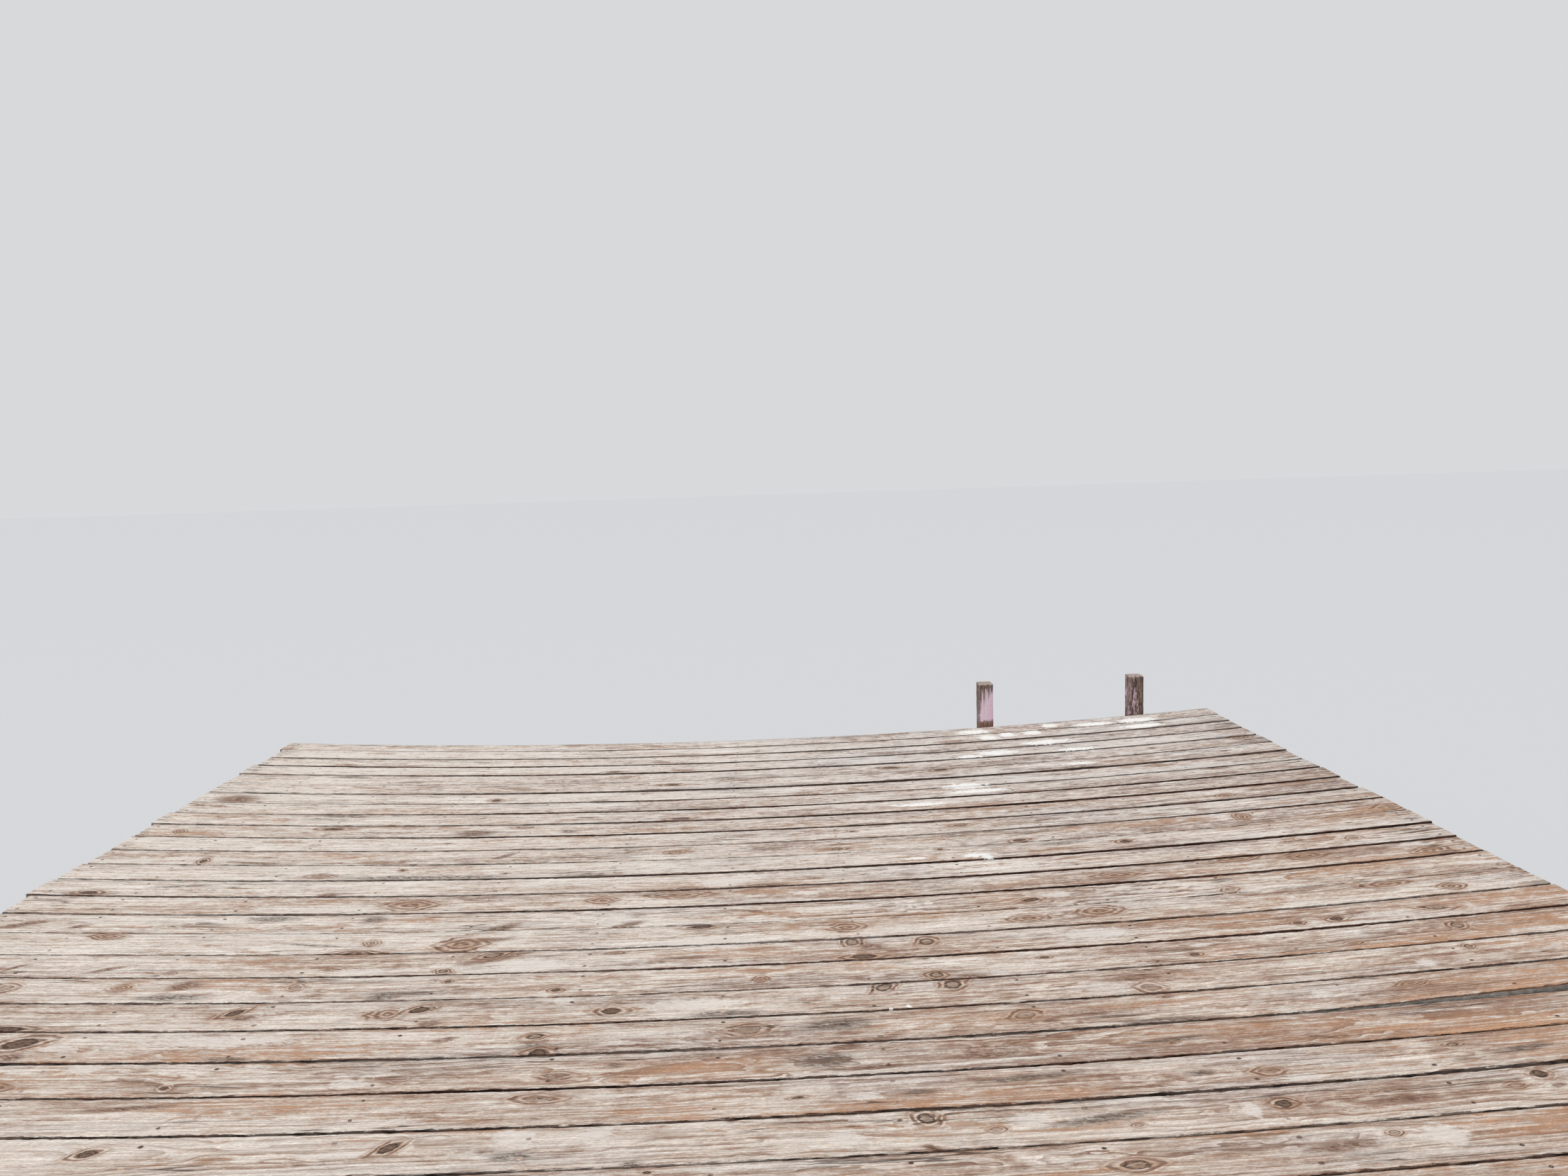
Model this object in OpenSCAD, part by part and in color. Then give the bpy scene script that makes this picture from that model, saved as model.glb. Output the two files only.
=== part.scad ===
// Timber jetty. Full-width deck boards lie across rows of joists. The joists stand
// on pairs of cross beams, which are bolted to both faces of square piles. The deck
// has sunk along its middle, so boards, joists, beams and end boards all follow one
// long shallow hollow. Two mooring posts stand against the open-water end.
// X runs along the deck boards, +Y points to the open-water end and +Z points up.
// The origin is the middle of the footprint, at the level of the pile feet.

/* [Deck] */
// Width of the frame over the outer faces of its side joists
frame_w = 4877; // [3600:1:6000]
// Height of the deck's top above the pile feet, at its two sides
deck_h = 1050; // [800:1:2000]
// Length of the deck from the shore end to the open-water end
deck_l = 7415; // [4900:1:12000]
// How far the middle of the deck has sunk below its sides
sag = 78; // [30:1:120]
// Width of one deck board
board_w = 140; // [90:1:185]
// Thickness of one deck board
board_t = 38; // [25:1:50]
// Open gap aimed at between two deck boards
board_gap = 5.5; // [3:0.5:10]
// Bays between the first and the last row of piles
bays = 3; // [2:1:5]
// How far the longest board ends stand out past the side joists at the shore end
overhang_max = 62; // [50:1:90]
// How much less the board ends stand out at the open-water end
overhang_loss = 30; // [0:1:35]
// How much shorter the shortest board end on the left is
left_ragged = 26; // [0:1:34]
// How much shorter the shortest board end on the right is
right_ragged = 18; // [0:1:34]

/* [Joists and beams] */
// Thickness of a joist, and of the two end boards
joist_t = 38; // [30:1:50]
// Depth of a joist, and of the two end boards
joist_h = 184; // [140:1:235]
// Distance between the centres of two joists
joist_pitch = 406.4; // [300:0.1:610]
// How far the middle joist stands to the right of the centre line
joist_shift = -94; // [-150:1:150]
// Least clear space between a joist and a side joist
joist_room = 120; // [60:1:200]
// Gap between the ends of two joists that meet over a row of piles
joist_butt = 4; // [1:1:10]
// Thickness of one cross beam
beam_t = 38; // [30:1:60]
// Depth of one cross beam
beam_h = 235; // [184:1:286]

/* [Piles] */
// Side of a square pile
pile_w = 140; // [100:1:184]
// Piles in one row across the jetty
row_piles = 3; // [2:1:4]
// Distance from the frame's side to the centre of the outer pile
pile_inset = 330; // [200:1:500]
// How far a pile stops below the joists that pass over it
pile_drop = 8; // [2:1:30]

/* [Mooring posts] */
// Side of a square mooring post
post_w = 77; // [60:1:120]
// Distance from the frame's right side to the centre of the right mooring post
post_inset = 357; // [120:1:800]
// Distance between the centres of the two mooring posts
post_spacing = 823; // [400:1:1000]
// Height of the left mooring post above the deck beside it
left_post_rise = 238; // [100:1:600]
// Height of the right mooring post above the deck beside it
right_post_rise = 215; // [100:1:600]

/* [Fit] */
// Gap between a piece and the one that it lies on, across the hollow
seat = 0.3; // [0.1:0.1:1]

/* [Hidden] */
half_w = frame_w / 2;
bay_l = deck_l / bays;
shore_y = -(deck_l + post_w) / 2;
water_y = shore_y + deck_l;

// Whole boards fill the deck's length, with the gap eased to fit.
board_count = round((deck_l + board_gap) / (board_w + board_gap));
board_pitch = (deck_l - board_w) / (board_count - 1);

// The hollow is part of a drum that lies along Y, high above the deck.
drum_r = (half_w * half_w + sag * sag) / (2 * sag);
drum_z = deck_h - sag + drum_r;
drum_facets = 1440;

// Depths below the deck's top
joist_d = board_t + seat;
beam_d = joist_d + joist_h + seat;

// Joists are counted both ways from the one nearest the centre line.
joist_reach = half_w - joist_t - joist_room - joist_t / 2;
left_joists = floor((joist_reach + joist_shift) / joist_pitch);
right_joists = floor((joist_reach - joist_shift) / joist_pitch);

// Centre of the right mooring post
post_x = half_w - post_inset;

// Steps that scatter the lengths of the board ends from 0 to 1
left_scatter = 0.618;
right_scatter = 0.382;

weathered = "#bfa79b";
joist_grey = "#8f8378";
pile_grey = "#7d7064";
faded_pink = "#b98d8a";

// Angle on the drum of a point that far from the centre line, in the deck's top
function drum_angle(x) = asin(x / drum_r);

// Height of the drum's underside at a depth below the deck's top
function drum_height(x, depth) = drum_z - sqrt(pow(drum_r + depth, 2) - x * x);

function board_y(i) = shore_y + i * board_pitch;

// The first board of a bay; the one after the last bay is one past the last board.
function first_board(bay) = round((bay - 1) * board_count / bays);

// The first and last rows stand so that a beam's face is flush with the deck's end.
function row_y(row) =
    row == 1 ? shore_y + beam_t + pile_w / 2
    : row == bays + 1 ? water_y - beam_t - pile_w / 2
    : shore_y + (row - 1) * bay_l;

function pile_x(n) = -half_w + pile_inset + (n - 1) * (frame_w - 2 * pile_inset) / (row_piles - 1);

// The furthest that a board stands out past the side joists
function overhang(i) = overhang_max - overhang_loss * i / (board_count - 1);

// A share from 0 to 1 that differs from board to board
function scattered(i, scatter) = (i * i * scatter) % 1;

function left_end(i) = -half_w - overhang(i) + left_ragged * scattered(i, left_scatter);

function right_end(i) = half_w + overhang(i) - right_ragged * scattered(board_count - 1 - i, right_scatter);

// Where the joists of a bay start and stop
function joists_from(bay) = bay == 1 ? shore_y + joist_t : row_y(bay) + joist_butt / 2;
function joists_to(bay) = bay == bays ? water_y - joist_t : row_y(bay + 1) - joist_butt / 2;

// A plank that follows the hollow from x0 to x1, at a depth below the deck's top
module curved_plank(x0, x1, y, thickness, depth, height) {
    translate([0, y + thickness, drum_z])
        rotate([90, 0, 0])
            rotate([0, 0, drum_angle(x0) - 90])
                rotate_extrude(angle = drum_angle(x1) - drum_angle(x0), $fn = drum_facets)
                    translate([drum_r + depth, 0])
                        square([height, thickness]);
}

// A straight joist square to the hollow, with its top at the joists' depth
module joist(x, from, to) {
    translate([0, from, drum_z])
        rotate([0, -drum_angle(x), 0])
            translate([-joist_t / 2, 0, -drum_r - joist_d - joist_h])
                cube([joist_t, to - from, joist_h]);
}

// The boards of one bay, each in one length from side to side
module deck_boards(bay) {
    color(weathered)
        for (i = [first_board(bay) : first_board(bay + 1) - 1])
            curved_plank(left_end(i), right_end(i), board_y(i), board_w, 0, board_t);
}

module joists(bay) {
    color(joist_grey)
        for (k = [-left_joists : right_joists])
            joist(joist_shift + k * joist_pitch, joists_from(bay), joists_to(bay));
}

// side is -1 on the left and 1 on the right
module side_joist(bay, side) {
    color(joist_grey)
        joist(side * (half_w - joist_t / 2), joists_from(bay), joists_to(bay));
}

module end_board(y) {
    color(joist_grey)
        curved_plank(-half_w, half_w, y, joist_t, joist_d, joist_h);
}

// side is -1 on the shore side of the piles and 1 on the water side
module cross_beam(row, side) {
    near = side < 0 ? row_y(row) - pile_w / 2 - beam_t : row_y(row) + pile_w / 2;
    color(pile_grey)
        curved_plank(-half_w, half_w, near, beam_t, beam_d, beam_h);
}

module pile(row, n) {
    inner_x = max(abs(pile_x(n)) - pile_w / 2, 0);
    top = drum_height(inner_x, beam_d) - pile_drop;
    color(pile_grey)
        translate([pile_x(n) - pile_w / 2, row_y(row) - pile_w / 2, 0])
            cube([pile_w, pile_w, top]);
}

module mooring_post(x, rise) {
    color(faded_pink)
        translate([x - post_w / 2, water_y, 0])
            cube([post_w, post_w, drum_height(x, 0) + rise]);
}

for (bay = [1 : bays]) {
    deck_boards(bay);
    joists(bay);
    side_joist(bay, -1);
    side_joist(bay, 1);
}
end_board(shore_y);  // shore_end_board
end_board(water_y - joist_t);  // water_end_board
for (row = [1 : bays + 1]) {
    cross_beam(row, -1);
    cross_beam(row, 1);
    for (n = [1 : row_piles])
        pile(row, n);
}
mooring_post(post_x - post_spacing, left_post_rise);  // left_mooring_post
mooring_post(post_x, right_post_rise);  // right_mooring_post
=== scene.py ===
import math

import bmesh
import bpy
import numpy as np
from mathutils import Matrix, Vector


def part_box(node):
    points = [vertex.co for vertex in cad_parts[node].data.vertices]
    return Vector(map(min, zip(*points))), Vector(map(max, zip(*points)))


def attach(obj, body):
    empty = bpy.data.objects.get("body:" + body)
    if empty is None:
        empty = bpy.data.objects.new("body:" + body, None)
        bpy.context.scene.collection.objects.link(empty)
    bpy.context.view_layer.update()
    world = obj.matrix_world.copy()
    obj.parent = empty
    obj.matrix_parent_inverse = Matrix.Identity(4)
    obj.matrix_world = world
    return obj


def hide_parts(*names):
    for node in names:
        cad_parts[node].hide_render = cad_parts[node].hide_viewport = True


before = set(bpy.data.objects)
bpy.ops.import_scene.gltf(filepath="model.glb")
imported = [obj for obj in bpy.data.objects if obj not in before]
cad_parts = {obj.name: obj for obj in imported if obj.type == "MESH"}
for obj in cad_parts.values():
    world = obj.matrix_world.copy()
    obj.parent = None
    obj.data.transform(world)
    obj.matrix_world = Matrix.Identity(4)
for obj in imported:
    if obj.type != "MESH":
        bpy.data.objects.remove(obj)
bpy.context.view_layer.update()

# Piles
# Twelve rough-sawn softwood piles, 140 mm square, stand in four rows of three. They are
# driven into the bed and cut off just under the joists. Weather has greyed them, their
# arrises are worn, they have split as they dried, and they are dark where water wets them.

ROWS = 4
PILES_IN_ROW = 3
PILE_WEAR = 0.006
PILE_NICKS = 0.0016
PILE_SPANS = 24
# Extra cuts over a wide face, along which a split can open
FACE_CUTS = 3
SPLIT_WIDTH = 0.0022
# A long split runs up from near the foot, and a short one down from the top.
LONG_SPLIT_START, LONG_SPLIT_BELOW_TOP, LONG_SPLIT_DEPTH = (0.02, 0.2), 0.01, 0.011
SHORT_SPLIT_LENGTH, SHORT_SPLIT_DEPTH = (0.25, 0.6), 0.009
PAST_TOP = 0.1
WET_HEIGHT = 0.20


def coordinates(mesh):
    """The mesh's points as rows of x, y and z."""
    flat = np.empty(len(mesh.vertices) * 3)
    mesh.vertices.foreach_get("co", flat)
    return flat.reshape(-1, 3)


def move_points(mesh, points):
    mesh.vertices.foreach_set("co", points.ravel())
    mesh.update()


def pick(*pieces):
    """Selects these pieces and nothing else, with the first one active."""
    bpy.ops.object.select_all(action="DESELECT")
    for piece in pieces:
        piece.select_set(True)
    if pieces:
        bpy.context.view_layer.objects.active = pieces[0]


def choose_edges(piece, wanted):
    """Selects in edit mode the edges that wanted(middle, run) picks."""
    bpy.context.tool_settings.mesh_select_mode = (False, True, False)
    bpy.ops.mesh.select_all(action="DESELECT")
    shape = bmesh.from_edit_mesh(piece.data)
    for edge in shape.edges:
        first, second = (end.co for end in edge.verts)
        if wanted((first + second) / 2, second - first):
            edge.select_set(True)
    bmesh.update_edit_mesh(piece.data)


def squared_timber(name, low, high, wear, spans, face_cuts=0):
    """A sawn timber between two corners, with its long arrises worn round. Its length is
    divided into spans and its wide faces by face_cuts, so that it can bend and split."""
    low, high = Vector(low), Vector(high)
    size = high - low
    grain = max(range(3), key=lambda axis: size[axis])
    widest = max(size[axis] for axis in range(3) if axis != grain)
    pick()
    bpy.ops.mesh.primitive_cube_add(size=1, location=(low + high) / 2, scale=size)
    piece = bpy.context.object
    piece.name = piece.data.name = name
    bpy.ops.object.transform_apply(location=True, rotation=True, scale=True)
    bpy.ops.object.mode_set(mode="EDIT")
    bpy.ops.mesh.select_all(action="SELECT")
    bpy.ops.mesh.bevel(offset=wear, segments=2, affect="EDGES")

    def along_grain(middle, run):
        return abs(run[grain]) > size[grain] / 2

    def over_wide_face(middle, run):
        return widest * 0.6 < run.length < widest * 1.01 and abs(run[grain]) < wear / 4

    if face_cuts:
        choose_edges(piece, over_wide_face)
        bpy.ops.mesh.subdivide(number_cuts=face_cuts)
    choose_edges(piece, along_grain)
    bpy.ops.mesh.subdivide(number_cuts=spans - 1)
    bpy.ops.object.mode_set(mode="OBJECT")
    return piece


def store(mesh, name, kind, domain, values):
    """Keeps one value for each point or face of a mesh, which its material can read."""
    field = "vector" if kind == "FLOAT_VECTOR" else "value"
    mesh.attributes.new(name, kind, domain).data.foreach_set(field, np.ravel(values))


def store_grain(piece, grain, across, heart, offset):
    """Gives each point its place in the timber, which the wood's figure follows when the
    timber is bent: along the grain, across its face, and deep from the face."""
    points = coordinates(piece.data) - np.array(heart)
    deep = 3 - grain - across
    places = np.stack([points[:, grain] + offset, points[:, across], points[:, deep]], axis=1)
    store(piece.data, "grain", "FLOAT_VECTOR", "POINT", places)


def wear_arrises(piece, dice, grain, low, high, amount):
    """Nicks a timber's worn arrises, each point a little towards the timber's middle."""
    points = coordinates(piece.data)
    middle, half = (np.array(high) + low) / 2, (np.array(high) - low) / 2
    sides = [axis for axis in range(3) if axis != grain]
    near = np.abs(points - middle)[:, sides] > half[sides] - amount * 4
    pull = amount * dice.random(len(points)) * np.where(near.all(axis=1), 1.0, 0.25)
    for axis in sides:
        points[:, axis] -= np.sign(points[:, axis] - middle[axis]) * pull
    move_points(piece.data, points)


def split_face(piece, grain, across, line, start, stop, face, depth):
    """Opens a drying split along the grain at a line across one face. The line is given by
    its place across the face and by the timber's middle behind it."""
    deep = 3 - grain - across
    place, middle_deep = line
    near_line, near_face = 0.002, 0.004
    pick(piece)
    bpy.ops.object.mode_set(mode="EDIT")

    def on_split(middle, run):
        return (
            abs(middle[across] - place) < near_line
            and abs(middle[deep] - face) < near_face
            and start < middle[grain] < stop
            and abs(run[grain]) > run.length * 0.8
        )

    choose_edges(piece, on_split)
    bpy.ops.mesh.bevel(offset=SPLIT_WIDTH, segments=2, affect="EDGES")
    bpy.ops.object.mode_set(mode="OBJECT")
    points = coordinates(piece.data)
    share = np.clip((points[:, grain] - start) / (stop - start), 0, 1)
    floor_line = (
        (np.abs(points[:, across] - place) < SPLIT_WIDTH * 0.5)
        & (np.abs(points[:, deep] - face) < near_face)
        & (share > 0) & (share < 1)
    )
    inward = np.sign(middle_deep - face)
    points[floor_line, deep] += inward * depth * np.sin(share[floor_line] * math.pi)
    move_points(piece.data, points)


def sawn_smooth(piece):
    """Shades a timber smooth over its worn arrises and flat across its faces."""
    pick(piece)
    bpy.ops.object.shade_smooth_by_angle(angle=math.radians(35))


def tint(red, green, blue):
    """A colour picked on a screen, as the shader needs it."""
    return tuple((value / 255) ** 2.2 for value in (red, green, blue)) + (1.0,)


# A near black for splits and damp, used also as painted shade deep in the deck's gaps
DAMP_BROWN, SPLIT_AND_SHADE_BLACK, ALGAE = tint(92, 78, 66), tint(34, 28, 25), tint(58, 62, 44)


class Value:
    """What a shader node gives. A sum or product of values is laid out as a Math node."""

    def __init__(self, shades, socket):
        self.shades, self.socket = shades, socket

    def __add__(self, other):
        return self.shades.math("ADD", self, other)

    def __sub__(self, other):
        return self.shades.math("SUBTRACT", self, other)

    def __rsub__(self, other):
        return self.shades.math("SUBTRACT", other, self)

    def __mul__(self, other):
        return self.shades.math("MULTIPLY", self, other)

    def __truediv__(self, other):
        return self.shades.math("DIVIDE", self, other)

    def __neg__(self):
        return self.shades.math("MULTIPLY", self, -1.0)

    def __abs__(self):
        return self.shades.math("ABSOLUTE", self)

    def root(self):
        return self.shades.math("SQRT", self)


class Shades:
    """Lays shader nodes in one tree. What feeds a node is a Value or a plain number."""

    def __init__(self, tree):
        self.tree = tree

    def feed(self, socket, value):
        if isinstance(value, Value):
            self.tree.links.new(value.socket, socket)
        else:
            socket.default_value = value

    def outputs(self, node):
        return {socket.name: Value(self, socket) for socket in node.outputs}

    def node(self, kind, feeds=(), gives=0, **settings):
        """Lays one node, fed socket by socket, and gives one of its outputs."""
        made = self.tree.nodes.new("ShaderNode" + kind)
        for name, value in settings.items():
            setattr(made, name, value)
        for key, value in dict(feeds).items():
            self.feed(made.inputs[key], value)
        return Value(self, made.outputs[gives])

    def math(self, operation, *terms):
        return self.node("Math", enumerate(terms), operation=operation)

    def parts(self, vector):
        """A vector's x, y and z."""
        return self.outputs(self.node("SeparateXYZ", {0: vector}).socket.node).values()

    def noise(self, vector, scale, detail=2.0, roughness=0.5):
        """Noise of one scale, or of three where it is drawn out along the grain."""
        if isinstance(scale, tuple):
            vector = self.node("VectorMath", {0: vector, 1: scale}, operation="MULTIPLY")
            scale = 1.0
        feeds = {"Vector": vector, "Scale": scale, "Detail": detail, "Roughness": roughness}
        return self.node("TexNoise", feeds, "Fac")

    def ease(self, value, low, high, to_low=0.0, to_high=1.0):
        """Goes smoothly from to_low to to_high as the value goes from low to high."""
        feeds = enumerate((value, low, high, to_low, to_high))
        return self.node("MapRange", feeds, interpolation_type="SMOOTHSTEP")

    def ramp(self, value, *stops):
        """Blends from colour to colour as the value passes their places."""
        blend = self.node("ValToRGB", {0: value})
        elements = blend.socket.node.color_ramp.elements
        elements[0].position, elements[0].color = stops[0]
        elements[1].position, elements[1].color = stops[-1]
        for place, colour in stops[1:-1]:
            elements.new(place).color = colour
        return blend

    def mix(self, share, first, second, way="MIX"):
        return self.node("Mix", {0: share, 6: first, 7: second}, 2, data_type="RGBA", blend_type=way)

    def lit(self, colour, amount):
        """A colour made darker or lighter by an amount near 1."""
        return self.mix(1.0, colour, self.node("CombineColor", {0: amount, 1: amount, 2: amount}), "MULTIPLY")

    def stored(self, name, gives="Fac"):
        return self.node("Attribute", (), gives, attribute_name=name)

    def object_place(self):
        return self.node("TexCoord", (), "Object")

    def group(self, tree, **feeds):
        named = {name.replace("_", " "): value for name, value in feeds.items()}
        return self.outputs(self.node("Group", named, node_tree=tree).socket.node)


def new_group(name, takes, gives):
    """An empty node group with named sockets: its Shades, its inputs and its outputs."""
    tree = bpy.data.node_groups.new(name, "ShaderNodeTree")
    for label, kind in takes.items():
        tree.interface.new_socket(label, in_out="INPUT", socket_type="NodeSocket" + kind)
    for label in gives:
        tree.interface.new_socket(label, in_out="OUTPUT", socket_type="NodeSocketFloat")
    s = Shades(tree)
    return s, s.outputs(tree.nodes.new("NodeGroupInput")), tree.nodes.new("NodeGroupOutput").inputs


def growth_rings():
    """Growth rings cut through by the timber's faces. The pith wanders, so the rings show as
    lines, flames and closed ovals. Swell bends them round a knot."""
    takes = {"Grain": "Vector", "Ring Width": "Float", "Heart Depth": "Float", "Swell": "Float"}
    makes = ["Ring", "Late Wood", "Year", "Fibre", "Check", "Curl"]
    s, given, gives = new_group("growth_rings", takes, makes)
    grain = given["Grain"]
    _, across, deep = s.parts(grain)
    slow = s.noise(grain, (0.12, 0.0, 0.0), 0.0)
    drift = s.noise(grain, (1.1, 0.0, 0.0), 2.0)
    aside = s.noise(grain, (0.221, 0.0, 0.0), 1.0)
    warp = s.noise(grain, (5.0, 26.0, 26.0), 3.0, 0.6)
    heart = given["Heart Depth"] * s.ease(slow, 0.3, 0.7, 0.35, 1.9) + (drift - 0.5) * 0.075
    sideways = across - (aside - 0.5) * 0.36
    upward = deep + heart
    radius = (sideways * sideways + upward * upward).root() + given["Swell"] + warp * 0.011

    # Curly grain, in places only
    curl = s.ease(s.noise(grain, (11.0, 34.0, 34.0), 1.0), 0.32, 0.68, -1.0, 1.0)
    curl = curl * s.ease(s.noise(grain, (3.23, 15.3, 15.3), 1.0), 0.48, 0.62)
    years = (radius + curl * 0.005) / given["Ring Width"]
    ring = s.math("FRACT", years)
    year = s.node("TexWhiteNoise", {"W": s.math("FLOOR", years)}, noise_dimensions="1D")
    late = s.ease(ring, 0.45, 0.9) * s.ease(ring, 1.0, 0.94) * s.ease(year, 0.0, 1.0, 0.35, 1.0)
    fibre = s.ease(s.noise(grain, (7.0, 200.0, 200.0), 4.0, 0.75), 0.32, 0.68)
    line = s.ease(abs(s.noise(grain, (1.3, 38.0, 38.0), 2.0) - 0.5), 0.011, 0.004)
    check = line * s.ease(s.noise(grain, (1.7, 9.0, 9.0), 1.0), 0.58, 0.64)
    for label, value in zip(makes, (ring, late, year, fibre, check, curl)):
        s.feed(gives[label], value)
    return s.tree


def weather():
    """Where weather and feet have worked on sawn wood: broad patches, long smears drawn out
    along the grain, and the small flecks of a torn surface. Each runs from 0 to 1."""
    makes = ["Patch", "Smear", "Blotch", "Fleck", "Pit", "Soil"]
    s, given, gives = new_group("weather", {"Grain": "Vector"}, makes)
    grain = given["Grain"]
    ragged = s.noise(grain, (30.0, 210.0, 210.0), 3.0, 0.7) - 0.5
    eased = {
        "Patch": (s.noise(grain, (1.5, 8.0, 8.0), 4.0, 0.6) + ragged * 0.16, 0.32, 0.68),
        "Smear": (s.noise(grain, (4.2, 62.0, 62.0), 4.0, 0.65) + ragged * 0.25, 0.36, 0.64),
        "Blotch": (s.noise(grain, (15.0, 62.0, 62.0), 5.0, 0.72), 0.35, 0.65),
        "Fleck": (s.noise(grain, (75.0, 260.0, 260.0), 2.0, 0.6), 0.62, 0.74),
        "Pit": (s.noise(grain, (54.6, 390.0, 390.0), 2.0), 0.68, 0.76),
        "Soil": (s.noise(grain, (1.43, 7.15, 7.15), 5.0, 0.68), 0.56, 0.76),
    }
    for label, bounds in eased.items():
        s.feed(gives[label], s.ease(*bounds))
    return s.tree


GROWTH_RINGS = growth_rings()
WEATHER = weather()


def new_material(name, roughness):
    """A material whose Principled shader has its plain values set: its Shades and shader."""
    material = bpy.data.materials.new(name)
    material.use_nodes = True
    shader = material.node_tree.nodes["Principled BSDF"]
    shader.inputs["Roughness"].default_value = roughness
    shader.inputs["Specular IOR Level"].default_value = 0.3
    return material, Shades(material.node_tree), shader


def set_surface(s, shader, colour, height, depth, rough):
    s.feed(shader.inputs["Base Color"], colour)
    s.feed(shader.inputs["Roughness"], rough)
    s.feed(shader.inputs["Normal"], s.node("Bump", {"Height": height, "Distance": depth}))


def greyed_timber(name, pale, brown, ring_width, heart_depth, wet_height):
    """Bare sawn softwood left to the weather: greyed late wood and fibres, brown smears,
    black checks, and damp green staining up to wet_height above the water."""
    material, s, shader = new_material(name, 0.85)
    grain = s.stored("grain", "Vector")
    rings = s.group(GROWTH_RINGS, Grain=grain, Ring_Width=ring_width, Heart_Depth=heart_depth)
    worn = s.group(WEATHER, Grain=grain)
    colour = s.mix(worn["Patch"], brown, pale)
    colour = s.mix(worn["Smear"] * 0.55, colour, brown)
    colour = s.mix(rings["Late Wood"] * 0.45, colour, DAMP_BROWN)
    colour = s.lit(colour, s.ease(rings["Fibre"], 0.0, 1.0, 0.72, 1.12))
    colour = s.mix(worn["Soil"] * 0.5, colour, DAMP_BROWN)
    colour = s.mix(rings["Check"], colour, SPLIT_AND_SHADE_BLACK)
    place = s.object_place()
    _, _, above_water = s.parts(place)
    above_water = above_water - s.noise(place, (14.0, 14.0, 5.0), 3.0) * 0.12
    wet = s.ease(above_water, wet_height, wet_height * 0.25 - 0.06)
    green = s.ease(s.noise(place, 9.0, 4.0, 0.6), 0.4, 0.6, 0.25, 0.85)
    colour = s.mix(wet * green, colour, ALGAE)
    colour = s.mix(wet * 0.55, colour, SPLIT_AND_SHADE_BLACK)
    height = rings["Late Wood"] * 0.5 + rings["Fibre"] * 0.45 - rings["Check"] * 1.6
    set_surface(s, shader, colour, height, 0.0014, s.ease(wet, 0.0, 1.0, 0.88, 0.6))
    return material


def stands_for(piece, material, slot, *nodes):
    """Gives a finished piece its material and its place on the body, and hides the nodes it covers."""
    piece.data.materials.clear()
    piece.data.materials.append(material)
    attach(piece, "root")
    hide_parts(*nodes)


PILE_WOOD = greyed_timber(
    "weathered pile wood", pale=tint(148, 138, 126), brown=tint(118, 102, 86),
    ring_width=0.0052, heart_depth=0.012, wet_height=WET_HEIGHT,
)

for row in range(1, ROWS + 1):
    for place in range(1, PILES_IN_ROW + 1):
        node = f"row_{row}_pile_{place}"
        dice = np.random.default_rng(100 * row + place)
        low, high = (np.array(corner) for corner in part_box(node))
        pile = squared_timber(node + "_timber", low, high, PILE_WEAR, PILE_SPANS, FACE_CUTS)
        middle = (low + high) / 2
        x, y, top = middle[0], middle[1], high[2]
        store_grain(pile, 2, 0, middle, 31.0 * dice.random() + 10 * row)
        wear_arrises(pile, dice, 2, low, high, PILE_NICKS)
        start = dice.uniform(*LONG_SPLIT_START)
        split_face(pile, 2, 0, (x, y), start, top - LONG_SPLIT_BELOW_TOP, low[1], LONG_SPLIT_DEPTH)
        start = top - dice.uniform(*SHORT_SPLIT_LENGTH)
        split_face(pile, 2, 1, (y, x), start, top + PAST_TOP, high[0], SHORT_SPLIT_DEPTH)
        sawn_smooth(pile)
        stands_for(pile, PILE_WOOD, "pile_timber", node)

# Cross beams
# A pair of sawn planks, 38 by 235 mm on edge, is bolted to the two faces of each row of
# piles. They carry the joists, and have sagged with the deck between the outer piles.

HALF_WIDTH = 2.4385
SAG = 0.078
DECK_SIDE_HEIGHT = 1.050
DRUM_RADIUS = (HALF_WIDTH ** 2 + SAG ** 2) / (2 * SAG)
DRUM_HEIGHT = DECK_SIDE_HEIGHT - SAG + DRUM_RADIUS
SEAT = 0.0003
BOARD_THICKNESS = 0.038
JOIST_TOP = -(BOARD_THICKNESS + SEAT)
JOIST_DEPTH = 0.184
BEAM_TOP = JOIST_TOP - JOIST_DEPTH - SEAT
BEAM_DEPTH = 0.235
PLANK_WEAR = 0.003
PLANK_NICKS = 0.0008
PLANK_SPANS = 60
FACE_WORN = 0.0005


def settled(points):
    """Points of a deck that is flat, with its top at zero, moved to the sunken deck's place."""
    turn = np.arcsin(points[:, 0] / DRUM_RADIUS)
    reach = DRUM_RADIUS - points[:, 2]
    return np.stack([reach * np.sin(turn), points[:, 1], DRUM_HEIGHT - reach * np.cos(turn)], axis=1)


def edge_plank(node, top, depth, offset):
    """A plank on edge across the jetty, as deep as given, that sags with the deck. Its figure
    starts at an offset along the wood's pattern, so that no two planks look alike."""
    shore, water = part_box(node)[0][1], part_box(node)[1][1]
    low, high = (-HALF_WIDTH, shore, top - depth), (HALF_WIDTH, water, top)
    plank = squared_timber(node + "_plank", low, high, PLANK_WEAR, PLANK_SPANS)
    store_grain(plank, 0, 2, (0, water, top - depth / 2), offset)
    wear_arrises(plank, np.random.default_rng(int(offset * 7)), 0, low, high, PLANK_NICKS)
    points = coordinates(plank.data)
    points[:, 1] = np.clip(points[:, 1], shore + FACE_WORN, water - FACE_WORN)
    move_points(plank.data, settled(points))
    sawn_smooth(plank)
    return plank


FRAME_WOOD = greyed_timber(
    "weathered frame wood", pale=tint(158, 146, 132), brown=tint(124, 106, 90),
    ring_width=0.0048, heart_depth=0.06, wet_height=0.05,
)

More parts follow.
